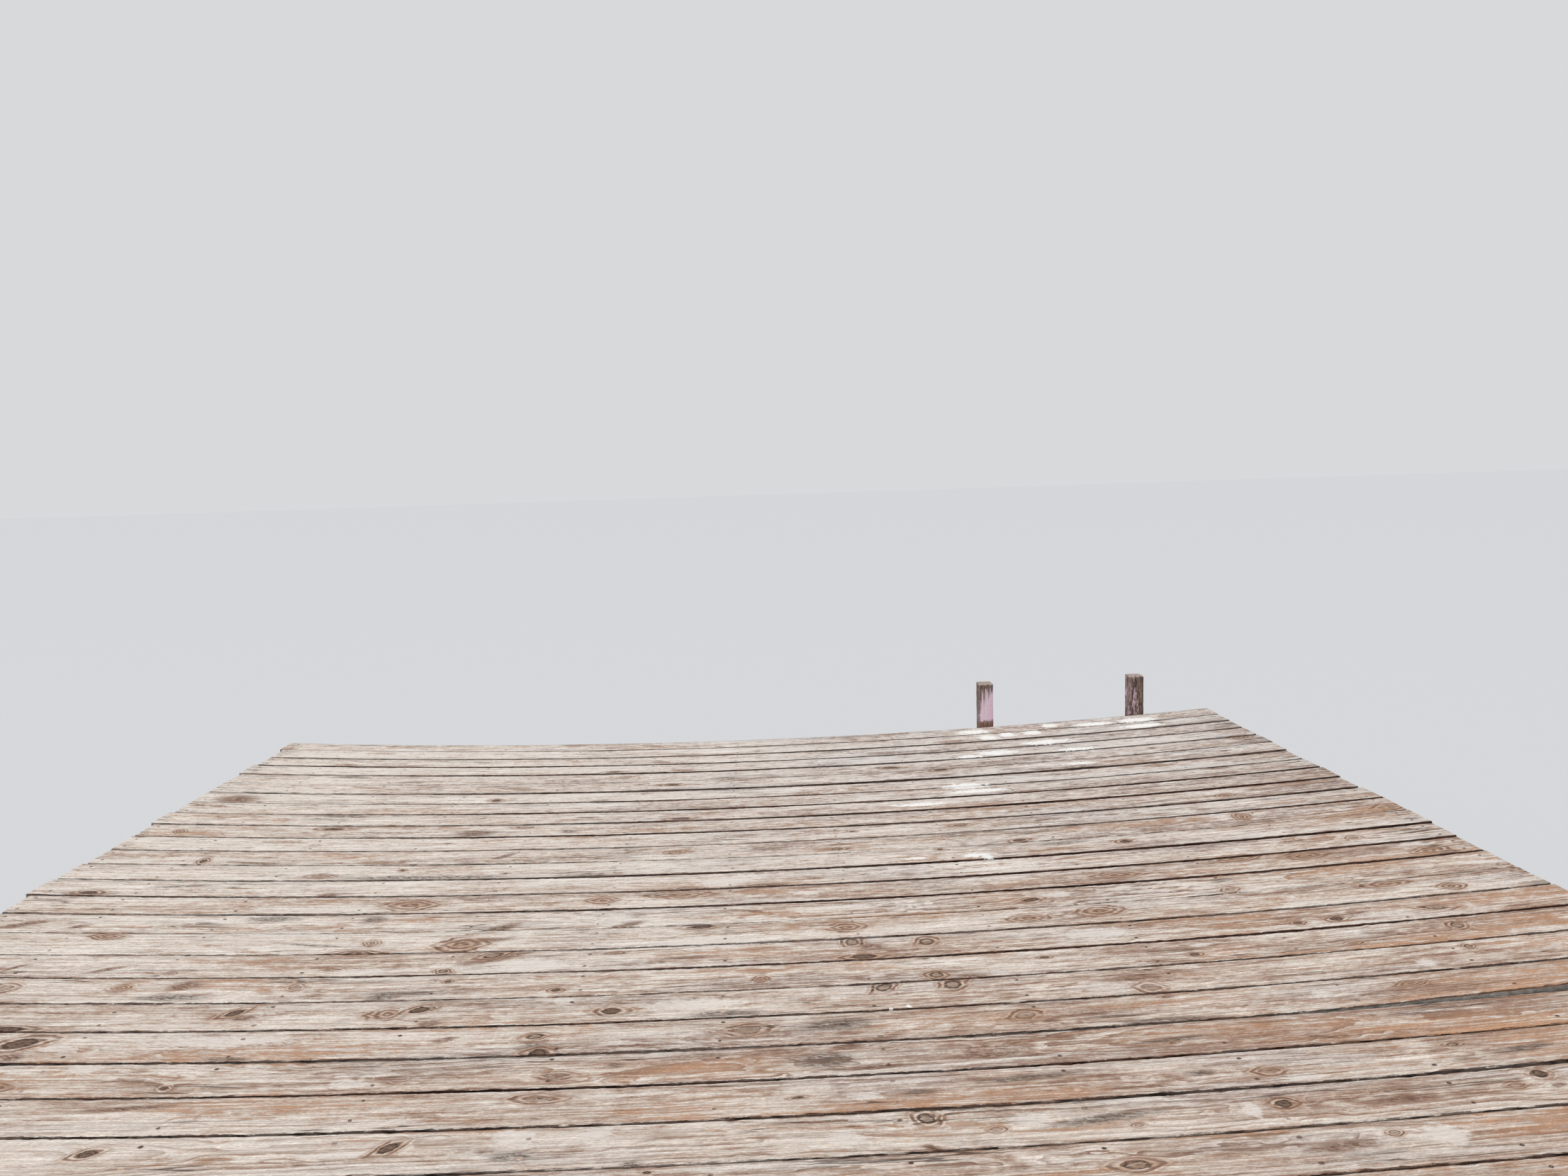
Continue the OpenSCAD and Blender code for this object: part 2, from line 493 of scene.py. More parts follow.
for row in range(1, ROWS + 1):
    for side, shift in (("shore", 0.0), ("water", 5.5)):
        node = f"row_{row}_{side}_side_beam"
        beam = edge_plank(node, BEAM_TOP, BEAM_DEPTH, 200 + 23 * row + shift)
        stands_for(beam, FRAME_WOOD, "frame_timber", node)

# Beam bolts
# Two rusty 16 mm bolts clamp each pair of beams to each pile, with a hex head and washer on
# the shore side and a nut and washer on the water side. The shore end's heads are let in.

BOLT_RADIUS = 0.008
HEX_RADIUS = 0.0139
WASHER_RADIUS, WASHER_THICKNESS = 0.025, 0.003
HEAD_THICKNESS, NUT_THICKNESS, THREAD_LEFT = 0.010, 0.013, 0.007
FLUSH_HEAD = 0.018
BOLT_RISE = 0.062
BOLT_ASIDE = 0.028
# The right mooring post leaves room for bolts on one side of its pile only.
BOLT_PAST_POST = 0.045
JUST_INSIDE = 0.0001
TOWARDS_SHORE = Matrix.Rotation(math.pi / 2, 3, "X")
TOWARDS_WATER = Matrix.Rotation(-math.pi / 2, 3, "X")


def joined(name, parts):
    """Several pieces made one, under a new name."""
    pick(*parts)
    bpy.ops.object.join()
    parts[0].name = parts[0].data.name = name
    return parts[0]


def eased_bar(radius, depth, foot, sides):
    """A short upright bar with its edges taken off."""
    pick()
    place = (0, 0, foot + depth / 2)
    bpy.ops.mesh.primitive_cylinder_add(vertices=sides, radius=radius, depth=depth, location=place)
    bpy.ops.object.transform_apply(location=True, rotation=True, scale=True)
    bpy.ops.object.mode_set(mode="EDIT")
    bpy.ops.mesh.select_all(action="SELECT")
    bpy.ops.mesh.bevel(offset=depth * 0.12, segments=1, affect="EDGES")
    bpy.ops.object.mode_set(mode="OBJECT")
    return bpy.context.object


def copied(piece):
    one = piece.copy()
    one.data = piece.data.copy()
    bpy.context.scene.collection.objects.link(one)
    return one


def placed_copy(piece, turn, place):
    """A copy of a piece, with its points turned and then moved."""
    one = copied(piece)
    move_points(one.data, coordinates(piece.data) @ np.array(turn).T + np.array(place))
    return one


def rusty_steel(name, bright, rust, roughness):
    """Steel whose coat has gone: rust over most of it, bright where it is rubbed."""
    material, s, shader = new_material(name, roughness)
    place = s.object_place()
    patch = s.ease(s.noise(place, 60.0, 5.0, 0.7), 0.42, 0.58)
    which = s.ease(s.noise(place, 2.7, 1.0), 0.4, 0.6)
    rusted = s.math("MAXIMUM", patch, which)
    s.feed(shader.inputs["Metallic"], s.ease(rusted, 0.0, 1.0, 0.9, 0.15))
    colour = s.mix(rusted, bright, rust)
    pits = s.noise(place, 900.0, 3.0)
    set_surface(s, shader, colour, pits, 0.0003, s.ease(rusted, 0.0, 1.0, 0.35, 0.85))
    return material


def on_edge_plank(x, depth, y):
    """A place on the face of a plank on edge that sags with the deck."""
    return settled(np.array([[x, y, depth]]))[0]


IRON = rusty_steel("rusty bolt iron", bright=tint(150, 140, 130), rust=tint(92, 62, 46), roughness=0.7)


def washer_and_hexagon(thickness):
    washer = eased_bar(WASHER_RADIUS, WASHER_THICKNESS, 0.0, 20)
    return [washer, eased_bar(HEX_RADIUS, thickness, WASHER_THICKNESS, 6)]


bolt_head = joined("bolt_head", washer_and_hexagon(HEAD_THICKNESS))
thread_end = eased_bar(BOLT_RADIUS, THREAD_LEFT, WASHER_THICKNESS + NUT_THICKNESS, 12)
bolt_nut = joined("bolt_nut", [*washer_and_hexagon(NUT_THICKNESS), thread_end])
flush_head = eased_bar(FLUSH_HEAD, WASHER_THICKNESS, -WASHER_THICKNESS - JUST_INSIDE, 16)
bolt_dice = np.random.default_rng(16)
for row in range(1, ROWS + 1):
    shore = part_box(f"row_{row}_shore_side_beam")[0][1]
    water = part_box(f"row_{row}_water_side_beam")[1][1] - FACE_WORN
    head, face = (flush_head, shore) if row == 1 else (bolt_head, shore + FACE_WORN)
    parts = []
    for place in range(1, PILES_IN_ROW + 1):
        low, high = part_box(f"row_{row}_pile_{place}")
        for side in (-1, 1):
            aside = BOLT_PAST_POST if (row, place) == (ROWS, PILES_IN_ROW) else side * BOLT_ASIDE
            x = (low[0] + high[0]) / 2 + aside
            depth = BEAM_TOP - BEAM_DEPTH / 2 + side * BOLT_RISE
            spin = Matrix.Rotation(bolt_dice.uniform(0, math.pi / 3), 3, "Z")
            parts.append(placed_copy(head, TOWARDS_SHORE @ spin, on_edge_plank(x, depth, face)))
            parts.append(placed_copy(bolt_nut, TOWARDS_WATER @ spin, on_edge_plank(x, depth, water)))
    bolts = joined(f"row_{row}_beam_bolts", parts)
    bolts.data.materials.append(IRON)
    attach(bolts, "root")
bpy.data.objects.remove(bolt_head)
bpy.data.objects.remove(bolt_nut)

# Joists
# Eleven joists, 38 by 184 mm, stand on the beams in each bay at 406.4 mm centres, with a
# side joist along each edge. They meet end to end over the rows of piles.

BAYS = 3
JOIST_THICKNESS = 0.038
JOIST_PITCH = 0.4064
JOIST_SHIFT = -0.094
JOIST_REACH = 5
JOIST_SPANS = 30
JOIST_PLACES = [JOIST_SHIFT + k * JOIST_PITCH for k in range(-JOIST_REACH, JOIST_REACH + 1)]
SIDE_JOIST_PLACE = HALF_WIDTH - JOIST_THICKNESS / 2


def joist(name, place, shore, water, offset):
    """A plank on edge along the jetty, square to the sunken deck above it."""
    low = (place - JOIST_THICKNESS / 2, shore, JOIST_TOP - JOIST_DEPTH)
    high = (place + JOIST_THICKNESS / 2, water, JOIST_TOP)
    made = squared_timber(name, low, high, PLANK_WEAR, JOIST_SPANS)
    store_grain(made, 1, 2, (place, 0, JOIST_TOP - JOIST_DEPTH / 2), offset)
    wear_arrises(made, np.random.default_rng(int(offset * 3)), 1, low, high, PLANK_NICKS)
    move_points(made.data, settled(coordinates(made.data)))
    return made


for bay in range(1, BAYS + 1):
    node = f"joists_bay_{bay}"
    shore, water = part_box(node)[0][1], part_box(node)[1][1]
    parts = [
        joist("joist", place, shore, water, 400 + 17.3 * bay + 7.7 * count)
        for count, place in enumerate(JOIST_PLACES)
    ]
    row_of_joists = joined(f"bay_{bay}_joists", parts)
    sawn_smooth(row_of_joists)
    stands_for(row_of_joists, FRAME_WOOD, "frame_timber", node)
    for side, place in (("left", -SIDE_JOIST_PLACE), ("right", SIDE_JOIST_PLACE)):
        node = f"{side}_side_joist_bay_{bay}"
        edge = joist(f"bay_{bay}_{side}_side_joist", place, shore, water, 600 + 9.1 * bay + place)
        sawn_smooth(edge)
        stands_for(edge, FRAME_WOOD, "frame_timber", node)

# End boards
# A board as deep as the joists closes their ends at the shore and at the open water. It is
# nailed through into each joist's end grain.

NAIL_RADIUS = 0.0045
NAIL_HEAD = 0.002
NAIL_DEPTHS = (0.030, 0.092, 0.152)
STRAY_ASIDE, STRAY_DOWN = 0.004, 0.006

nail = eased_bar(NAIL_RADIUS, NAIL_HEAD, -NAIL_HEAD - JUST_INSIDE, 10)
nail_dice = np.random.default_rng(78)
for node, facing, face in (
    ("shore_end_board", TOWARDS_SHORE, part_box("shore_end_board")[0][1]),
    ("water_end_board", TOWARDS_WATER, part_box("water_end_board")[1][1]),
):
    end_board = edge_plank(node, JOIST_TOP, JOIST_DEPTH, 700 + len(node))
    stands_for(end_board, FRAME_WOOD, "frame_timber", node)
    parts = []
    for place in [-SIDE_JOIST_PLACE, *JOIST_PLACES, SIDE_JOIST_PLACE]:
        for depth in NAIL_DEPTHS:
            x = place + nail_dice.normal(0, STRAY_ASIDE)
            down = depth + nail_dice.normal(0, STRAY_DOWN)
            parts.append(placed_copy(nail, facing, on_edge_plank(x, JOIST_TOP - down, face)))
    nails = joined(node + "_nails", parts)
    nails.data.materials.append(IRON)
    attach(nails, "root")
bpy.data.objects.remove(nail)

# Camera
# It stands on the deck, 1.4 m above the boards, and looks out over the water end. The deck's
# knots and marks below are placed by where they are seen from here.

IMAGE_WIDTH, IMAGE_HEIGHT = 2212, 1659
SENSOR = 36.0
LENS = 23.884
EYE = Vector((0.0384, -1.8367, 2.3752))
YAW = math.radians(1.498)
PITCH = math.radians(6.049)
ROLL = math.radians(1.818)

ahead = Vector((math.sin(YAW) * math.cos(PITCH), math.cos(YAW) * math.cos(PITCH), -math.sin(PITCH)))
level = Vector((math.cos(YAW), -math.sin(YAW), 0.0))
right = math.cos(ROLL) * level + math.sin(ROLL) * ahead.cross(level)
down = ahead.cross(right)
camera = bpy.data.objects.new("camera", bpy.data.cameras.new("camera"))
bpy.context.scene.collection.objects.link(camera)
camera.data.sensor_width = SENSOR
camera.data.lens = LENS
camera.matrix_world = Matrix.Translation(EYE) @ Matrix((right, -down, -ahead)).transposed().to_4x4()
bpy.context.scene.camera = camera


def deck_place(column, line):
    """The place on the deck, x and y, that is seen at a pixel of the full image."""
    focal = LENS / SENSOR * IMAGE_WIDTH
    aside, below = (column - IMAGE_WIDTH / 2) / focal, (line - IMAGE_HEIGHT / 2) / focal
    ray = ahead + aside * right + below * down
    height = DECK_SIDE_HEIGHT - SAG
    for _ in range(6):
        spot = EYE + ray * ((height - EYE.z) / ray.z)
        height = DRUM_HEIGHT - math.sqrt(DRUM_RADIUS ** 2 - min(abs(spot.x), HALF_WIDTH) ** 2)
    return spot.x, spot.y


# Deck boards
# Fifty-one softwood planks, 38 by 140 mm, run from side to side in one length and are
# screwed to every joist. Sun has bleached them to cream and pinkish grey, feet have worn
# them, their edges are grey and frayed and carry painted shade along the gaps, and the knots
# and red late wood show through.

DECK_LENGTH = 7.415
BOARDS = 51
BOARD_WIDTH = 0.140
BOARD_HALF = BOARD_WIDTH / 2
BOARD_PITCH = (DECK_LENGTH - BOARD_WIDTH) / (BOARDS - 1)
PLAIN_GAP = BOARD_PITCH - BOARD_WIDTH
BOARD_WEAR = 0.0026
# A board is cut into spans, and then each of them by so many cuts more.
BOARD_SPANS, CUTS_IN_SPAN = 12, 24
SHORE_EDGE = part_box("shore_end_board")[0][1]
# How far apart along the grain's pattern two neighbouring boards start
GRAIN_STEP = 5.3

# Gaps that stand out, in mm, by how many boards they lie from the water's edge
GAPS_SEEN = {
    1: 7, 2: 8, 3: 10, 4: 10, 5: 4, 6: 10, 7: 10, 8: 10, 9: 9, 10: 8.5, 11: 6, 12: 4, 13: 10,
    14: 6.5, 15: 10, 16: 3, 17: 3.5, 18: 4.5, 19: 3, 20: 3.5, 21: 4, 22: 8, 23: 6.5, 24: 4,
}
LEAST_GAP, MOST_GAP = 0.004, 0.008

# How dark the frayed edges and the painted shade along those gaps are, at four places from left
# to right
FAINT, SOFT, PLAIN, DARK, BLACK = 0.2, 0.6, 1.0, 1.5, 1.9
DARK_PLACES = (-2.0, -0.7, 0.7, 2.0)
EDGES_SEEN = {
    2: (SOFT, SOFT, PLAIN, PLAIN), 3: (DARK, DARK, PLAIN, PLAIN), 4: (SOFT, DARK, PLAIN, SOFT),
    5: (FAINT, SOFT, SOFT, PLAIN), 6: (FAINT, PLAIN, DARK, PLAIN), 7: (SOFT, BLACK, PLAIN, SOFT),
    8: (SOFT, BLACK, DARK, DARK), 9: (FAINT, SOFT, DARK, BLACK), 10: (SOFT, DARK, PLAIN, PLAIN),
    11: (SOFT, SOFT, SOFT, DARK), 12: (FAINT, FAINT, FAINT, FAINT), 13: (FAINT, PLAIN, DARK, BLACK),
    14: (PLAIN, SOFT, DARK, DARK), 15: (SOFT, PLAIN, BLACK, DARK), 16: (FAINT, FAINT, FAINT, FAINT),
    17: (SOFT, SOFT, PLAIN, SOFT), 18: (PLAIN, PLAIN, BLACK, BLACK), 19: (PLAIN, SOFT, PLAIN, PLAIN),
    20: (SOFT, PLAIN, PLAIN, PLAIN), 21: (DARK, PLAIN, PLAIN, PLAIN), 22: (PLAIN, DARK, PLAIN, SOFT),
    23: (PLAIN, PLAIN, PLAIN, PLAIN), 24: (FAINT, SOFT, SOFT, PLAIN),
}
# The bounds for the edges that aren't seen
LEAST_DARK, MOST_DARK = 0.3, 1.4

# How boards look, counted in the same way: how brown from -1 to 1, their rings' width in mm,
# and how strongly their figure shows
LOOKS_SEEN = {
    9: (0.3, 5, 0.4), 10: (0.4, 5, 0.3), 11: (-0.2, 5, 0.6), 12: (0.35, 5, 0.2), 13: (-0.5, 5, 0.6),
    14: (-0.4, 5, 1.0), 15: (0.3, 5, 0.2), 16: (-0.2, 7, 1.2), 17: (-0.4, 6, 0.6), 18: (0.25, 6, 0.4),
    19: (0.1, 7, 0.9), 20: (0.05, 6, 0.6), 21: (0.3, 6, 0.7), 22: (0.5, 7, 1.2), 23: (0.0, 8, 0.8),
    24: (-0.3, 9, 1.1), 25: (-0.1, 8, 1.0),
}
# The bounds for the other boards' looks
LOOK_BOUNDS = ((-0.5, 0.4), (4.5, 8), (0.3, 1.1))

# Knots by the pixel they are seen at, how far they reach to each side and up in pixels, and
# how far their right end rises
KNOTS_SEEN = [
    (28, 1473, 21, 6, 4), (231, 1535, 5, 2.5, 0), (784, 1397, 6, 2, 0), (862, 1426, 12, 3.7, 0),
    (759, 1486, 11, 5.5, 0), (592, 1425, 12, 3.4, 2), (632, 1385, 4, 1.6, 0), (125, 1259, 11, 2.3, 0),
    (1219, 1349, 16, 2.6, 0), (1685, 1346, 6, 2, 0), (1811, 1557, 11, 5, 0), (2171, 1514, 9, 5, 0),
    (287, 1215, 4, 2.6, 0), (568, 1228, 3, 1, 0), (1831, 1302, 6, 1.8, 0), (1885, 1296, 9, 2.6, 0),
    (700, 1129, 5, 1.5, 0), (1588, 1187, 8, 1.8, 0), (331, 1429, 11, 3, 4),
    (123, 1628, 12, 4.5, 3), (548, 1620, 13, 5, 6),
]
# Knots with a pale heart and a dark line round it, seen in the same way
RINGED_KNOTS_SEEN = [
    (755, 1462, 10, 3, 1), (1247, 1393, 11, 4, 4), (609, 1423, 4, 2.6, 2), (1202, 1329, 8, 4, 5),
    (1307, 1328, 9, 4, 2), (1321, 1375, 8, 3.6, -0.5), (1344, 1389, 11, 5, 3), (2071, 1335, 5, 2.4, 0),
    (1307, 1578, 9, 8, 8), (2055, 1305, 7.5, 4, 0), (625, 1370, 6, 2.4, -1), (696, 1348, 12, 2.6, 2),
    (1604, 1643, 18, 6, 0),
]
# Faint knots, seen in the same way
FAINT_KNOTS_SEEN = [
    (6, 1394, 9, 4, 1), (417, 1393, 6, 3, 0), (1054, 1453, 16, 5, 0.5), (784, 1517, 14, 3.4, 0),
    (241, 1373, 4, 1.6, 0), (1446, 1432, 12, 4.5, 1.5), (1623, 1393, 11, 5, -1), (2139, 1530, 9, 3.5, 0),
    (1607, 1587, 5, 2.2, 0), (1968, 1598, 6, 3.4, 0), (1406, 1593, 7, 3, 0), (451, 1237, 10, 1.6, 0),
    (1735, 1255, 7, 2.6, 0.6), (1958, 1138, 12, 2.6, 0), (1909, 1181, 6, 2, 0), (1909, 1330, 7, 2, 0),
    (1790, 1511, 12, 4, 0), (2038, 1204, 6, 1.4, 0),
]
# Closed ovals of late wood with no knot in them, seen in the same way
OVALS_SEEN = [
    (578, 1277, 48, 10, 0), (650, 1333, 46, 13, 1), (1193, 1308, 36, 9, 0), (1551, 1285, 46, 10, 1),
    (1451, 1296, 40, 8, 0), (1990, 1389, 34, 7, 2), (1743, 1211, 48, 7, 1), (1839, 1207, 50, 7, 0),
    (2018, 1199, 44, 7, 2), (2048, 1250, 30, 8, 0), (1955, 1247, 50, 8, 1), (2160, 1224, 40, 8, 3),
    (1751, 1152, 18, 7, 1), (1580, 1234, 56, 6, 0), (168, 1394, 22, 6, 0), (525, 1331, 16, 6, 0),
    (254, 1173, 13, 4, 0), (1073, 1381, 18, 6, 1), (500, 1345, 50, 6, 0), (1750, 1040, 24, 4, 0),
    (850, 1270, 30, 6, 0), (960, 1262, 60, 7, 0), (153, 1322, 36, 6, 0), (546, 1431, 38, 11, 2),
]
# Dark red streaks along and across the grain, seen in the same way
STREAKS_SEEN = [
    (709, 1309, 30, 5, 8), (700, 1352, 57, 5, 10), (32, 1304, 40, 4, 8), (111, 1307, 20, 3, 4),
    (21, 1365, 18, 2, 7), (150, 1368, 25, 3, 5), (882, 1306, 34, 4, 7), (713, 1208, 20, 2.5, 6),
    (335, 1127, 35, 7, 0), (670, 1176, 32, 5, 0), (461, 1263, 18, 4, 2), (14, 1492, 22, 7, 0),
    (261, 1391, 28, 7, 2), (1863, 1462, 25, 3.5, -3), (1318, 1621, 20, 6, -7), (2199, 1530, 15, 4, 2),
    (1392, 1488, 70, 6, 1), (1990, 1549, 60, 7, 0), (1895, 1617, 70, 8, 2), (1370, 1378, 30, 5, 2),
    (900, 1475, 60, 3, 0), (1230, 1335, 22, 6, -3), (1600, 1380, 60, 4, 0), (345, 1436, 22, 5, 1),
    (1235, 1505, 60, 4, 1), (1195, 1476, 24, 5, 2), (606, 1444, 17, 6, 3), (628, 1467, 20, 4, 3),
]
# Grey smudges of dirt, seen in the same way
SMUDGES_SEEN = [
    (1166, 1494, 52, 14, 0), (1180, 1446, 62, 10, 2), (785, 1520, 24, 5, 0), (868, 1502, 14, 4, 0),
    (1297, 1541, 26, 4, 1), (538, 1407, 26, 7, 0), (720, 1632, 40, 8, 0), (892, 1643, 20, 7, 0),
    (238, 1408, 62, 6, 0), (1654, 1466, 70, 4, 2), (1691, 1514, 28, 5, 1), (2154, 1478, 50, 6, 4),
    (1560, 1577, 100, 7, 7), (386, 1296, 40, 5, 0), (529, 1297, 22, 5, 1),
    (1723, 1242, 20, 3, 1), (1020, 1430, 60, 5, 0), (600, 1238, 160, 3, 0), (1870, 1426, 18, 3, 0),
    (848, 1131, 16, 3, 0), (802, 1173, 14, 3, 0), (1450, 1520, 90, 5, 3), (1640, 1440, 90, 5, 1),
    (752, 1476, 24, 6, 1),
]
# Patches where the white film is still whole, seen in the same way
FILM_SEEN = [
    (978, 1417, 72, 8, 0), (725, 1605, 34, 11, 0), (842, 1599, 26, 11, 0), (1191, 1605, 30, 11, 0),
    (719, 1326, 30, 9, 1), (746, 1362, 46, 10, 0), (118, 1509, 26, 8, 0), (84, 1480, 34, 5, 0),
    (1863, 1402, 14, 6, 0), (2040, 1600, 34, 16, -8), (1768, 1567, 12, 13, 0), (1449, 1580, 34, 11, 0),
    (1222, 1547, 26, 6, 0), (1020, 1243, 40, 7, 0), (1545, 1316, 60, 8, 0),
    (300, 1470, 120, 8, 0), (1840, 1520, 40, 6, 0), (1000, 1330, 90, 9, 0), (420, 1318, 70, 5, 0),
]
# White splashes, seen in the same way
SPLASHES_SEEN = [
    (1372, 1033, 26, 3, 0), (1394, 1041, 14, 3.5, 0), (1421, 1037, 12, 3, 0), (1456, 1034, 14, 3, 0),
    (1480, 1024, 12, 2.5, 0), (1543, 1022, 32, 2.6, 0), (1604, 1016, 34, 3, 0), (1612, 1024, 34, 3, 0),
    (1476, 1047, 38, 3, 0), (1408, 1062, 34, 3.4, 0), (1369, 1068, 18, 3, 0), (1518, 1057, 30, 2.2, 0),
    (1524, 1077, 24, 1.6, 0), (1361, 1109, 34, 4, 0), (1380, 1116, 44, 2.6, 0), (1378, 1206, 20, 3, 0),
    (1393, 1209, 8, 3, -3), (1257, 1423, 3, 2, 0), (1282, 1419, 4, 2.5, 0), (1300, 1135, 40, 2, 0),
    (1290, 1211, 20, 1.6, 0),
]

deck_dice = np.random.default_rng(51)
gaps = deck_dice.uniform(LEAST_GAP, MOST_GAP, BOARDS + 1)
for count, gap in GAPS_SEEN.items():
    gaps[BOARDS - count] = gap / 1000
gaps[0] = gaps[BOARDS] = PLAIN_GAP
looks = np.stack([deck_dice.uniform(*bounds, BOARDS) for bounds in LOOK_BOUNDS], axis=1)
for count, look in LOOKS_SEEN.items():
    looks[BOARDS - count] = look
# How dark the fray and painted shade along each gap are at the four places
dark_dice = np.random.default_rng(24)
darkness = dark_dice.uniform(LEAST_DARK, MOST_DARK, (BOARDS + 1, len(DARK_PLACES)))
for count, levels in EDGES_SEEN.items():
    darkness[BOARDS - count] = levels
# How far boards stand high or low, how far they are cupped, and how far they twist in a metre
RISE_SPREAD, USUAL_CUP, CUP_SPREAD, TWIST_SPREAD = 0.0007, 0.0004, 0.0006, 0.0003
rise = deck_dice.normal(0, RISE_SPREAD, BOARDS)
cup = deck_dice.normal(USUAL_CUP, CUP_SPREAD, BOARDS)
twist = deck_dice.normal(0, TWIST_SPREAD, BOARDS)
# How far a board's two edges and its height wander along it, and in how long waves
EDGE_WANDER, SHORE_EDGE_WAVE, WATER_EDGE_WAVE = 0.0011, 1.7, 1.3
HEIGHT_WANDER, HEIGHT_WAVE = 0.0007, 0.9
# One board has lifted along its shore-side edge towards its right end.
LIFTED_BOARD = 30
LIFT = 0.020
LIFTED_FROM = 1.3


def wander(dice, at, amount, longest):
    """A slow uneven wave along a board, up to about the amount to either side."""
    wave = 0.0
    for share in (1.0, 0.45, 0.2):
        swing = amount * share * dice.uniform(0.4, 1.0)
        wave = wave + swing * np.sin(at * 2 * math.pi / (longest * share) + dice.uniform(0, 7))
    return wave / 1.4


def board_middle(board):
    return SHORE_EDGE + board * BOARD_PITCH + BOARD_HALF


def laid(board, places):
    """Moves places on a straight board, as x, across and deep, to where the board lies. Its
    edges wander with its gaps, and it is cupped, twisted and bent to the hollow."""
    along, across, deep = places.T
    dice = np.random.default_rng(board)
    side = across / BOARD_HALF
    shore_edge = (gaps[board] - PLAIN_GAP) / 2 + wander(dice, along, EDGE_WANDER, SHORE_EDGE_WAVE)
    water_edge = (PLAIN_GAP - gaps[board + 1]) / 2 + wander(dice, along, EDGE_WANDER, WATER_EDGE_WAVE)
    if board == 0:
        shore_edge = np.abs(shore_edge)
    if board == BOARDS - 1:
        water_edge = -np.abs(water_edge)
    share = (side + 1) / 2
    y = board_middle(board) + across + shore_edge * (1 - share) + water_edge * share
    z = deep + rise[board] + cup[board] * side ** 2 + twist[board] * side * along
    z = z + wander(dice, along, HEIGHT_WANDER, HEIGHT_WAVE)
    if board == LIFTED_BOARD:
        bend = np.clip((along - LIFTED_FROM) / (HALF_WIDTH - LIFTED_FROM), 0, 1)
        z = z + LIFT * bend ** 2 * (3 - 2 * bend) * (1 - share)
    return settled(np.stack([along, y, z], axis=1))


# A mark that no board reaches, for boards without one
FAR_AWAY = (99.0, 0.0, 0.001, 0.001, 0.0, 0.0)
# Where drawn marks may lie, and how far they keep from others on their board
MOST_ALONG, MOST_ACROSS, APART = 2.4, 0.06, 0.30


def marks_on_boards(*kinds):
    """Marks seen at pixels, as lists by board of x, across, half length, half width, slant
    and kind. A mark that reaches over a board's edge is on its neighbour too."""
    marks = [[FAR_AWAY] for _ in range(BOARDS)]
    for kind, seen in kinds:
        for column, line, reach, tall, lean in seen:
            x, y = deck_place(column, line)
            half_length = deck_place(column + reach, line)[0] - x
            across_a_line = (deck_place(column, line - 1)[1] - deck_place(column, line + 1)[1]) / 2
            half_width = tall * across_a_line
            slant = math.atan2(lean * across_a_line, half_length)
            for board in range(BOARDS):
                across = y - board_middle(board)
                if abs(across) < BOARD_HALF + half_width * 0.6:
                    marks[board].append((x, across, half_length, half_width, slant, kind))
    return marks


def drawn_place():
    return deck_dice.uniform(-MOST_ALONG, MOST_ALONG), deck_dice.uniform(-MOST_ACROSS, MOST_ACROSS)


def is_clear(x, marks):
    return all(abs(x - other[0]) > APART for other in marks)


# Boards seen from so near that all their ovals are listed above
WELL_SEEN = range(26, 38)
KNOT, RINGED_KNOT, FAINT_KNOT, OVAL = 1.0, 0.7, 0.4, 0.0
# Drawn knots and ovals: how many a board, the knots' half widths, how long they are for their
# width and how they slant, the ovals' share, and their half lengths and half widths
KNOTS_A_BOARD = (4, 10)
KNOT_HALF_WIDTHS = (0.003, 0.004, 0.006, 0.009, 0.012)
KNOT_STRETCH, KNOT_SLANT = (1.6, 3.2), 0.12
OVAL_SHARE, OVAL_HALF_LENGTHS, OVAL_HALF_WIDTHS = 0.4, (0.05, 0.12), (0.014, 0.03)
knots_seen = ((KNOT, KNOTS_SEEN), (RINGED_KNOT, RINGED_KNOTS_SEEN), (FAINT_KNOT, FAINT_KNOTS_SEEN))
knots = marks_on_boards(*knots_seen, (OVAL, OVALS_SEEN))
for board, on_board in enumerate(knots):
    for _ in range(deck_dice.integers(*KNOTS_A_BOARD)):
        x, across = drawn_place()
        half_width = deck_dice.choice(KNOT_HALF_WIDTHS)
        kind = deck_dice.choice([KNOT, KNOT, RINGED_KNOT, FAINT_KNOT, FAINT_KNOT])
        half_length = half_width * deck_dice.uniform(*KNOT_STRETCH)
        mark = (x, across, half_length, half_width, deck_dice.normal(0, KNOT_SLANT), kind)
        if deck_dice.random() < OVAL_SHARE:
            size = deck_dice.uniform(*OVAL_HALF_LENGTHS), deck_dice.uniform(*OVAL_HALF_WIDTHS)
            mark = (x, across, *size, 0.0, OVAL)
        listed = mark[5] == OVAL and board in WELL_SEEN
        if not listed and is_clear(x, on_board):
            on_board.append(mark)

STREAK, SMUDGE, FILM = 3.0, 2.0, -1.0
# Drawn patches: how many a board, their half lengths and half widths, and how they slant
PATCHES_A_BOARD = (1, 5)
PATCH_HALF_LENGTHS, PATCH_HALF_WIDTHS, PATCH_SLANT = (0.03, 0.14), (0.008, 0.022), 0.08
patches = marks_on_boards((STREAK, STREAKS_SEEN), (SMUDGE, SMUDGES_SEEN))
films = marks_on_boards((FILM, FILM_SEEN))
for board, on_board in enumerate(patches):
    for _ in range(deck_dice.integers(*PATCHES_A_BOARD)):
        x, across = drawn_place()
        kind = deck_dice.choice([STREAK, SMUDGE, FILM, FILM])
        size = deck_dice.uniform(*PATCH_HALF_LENGTHS), deck_dice.uniform(*PATCH_HALF_WIDTHS)
        if is_clear(x, on_board):
            of_its_kind = films[board] if kind == FILM else on_board
            of_its_kind.append((x, across, *size, deck_dice.normal(0, PATCH_SLANT), kind))
splashes = marks_on_boards((KNOT, SPLASHES_SEEN))

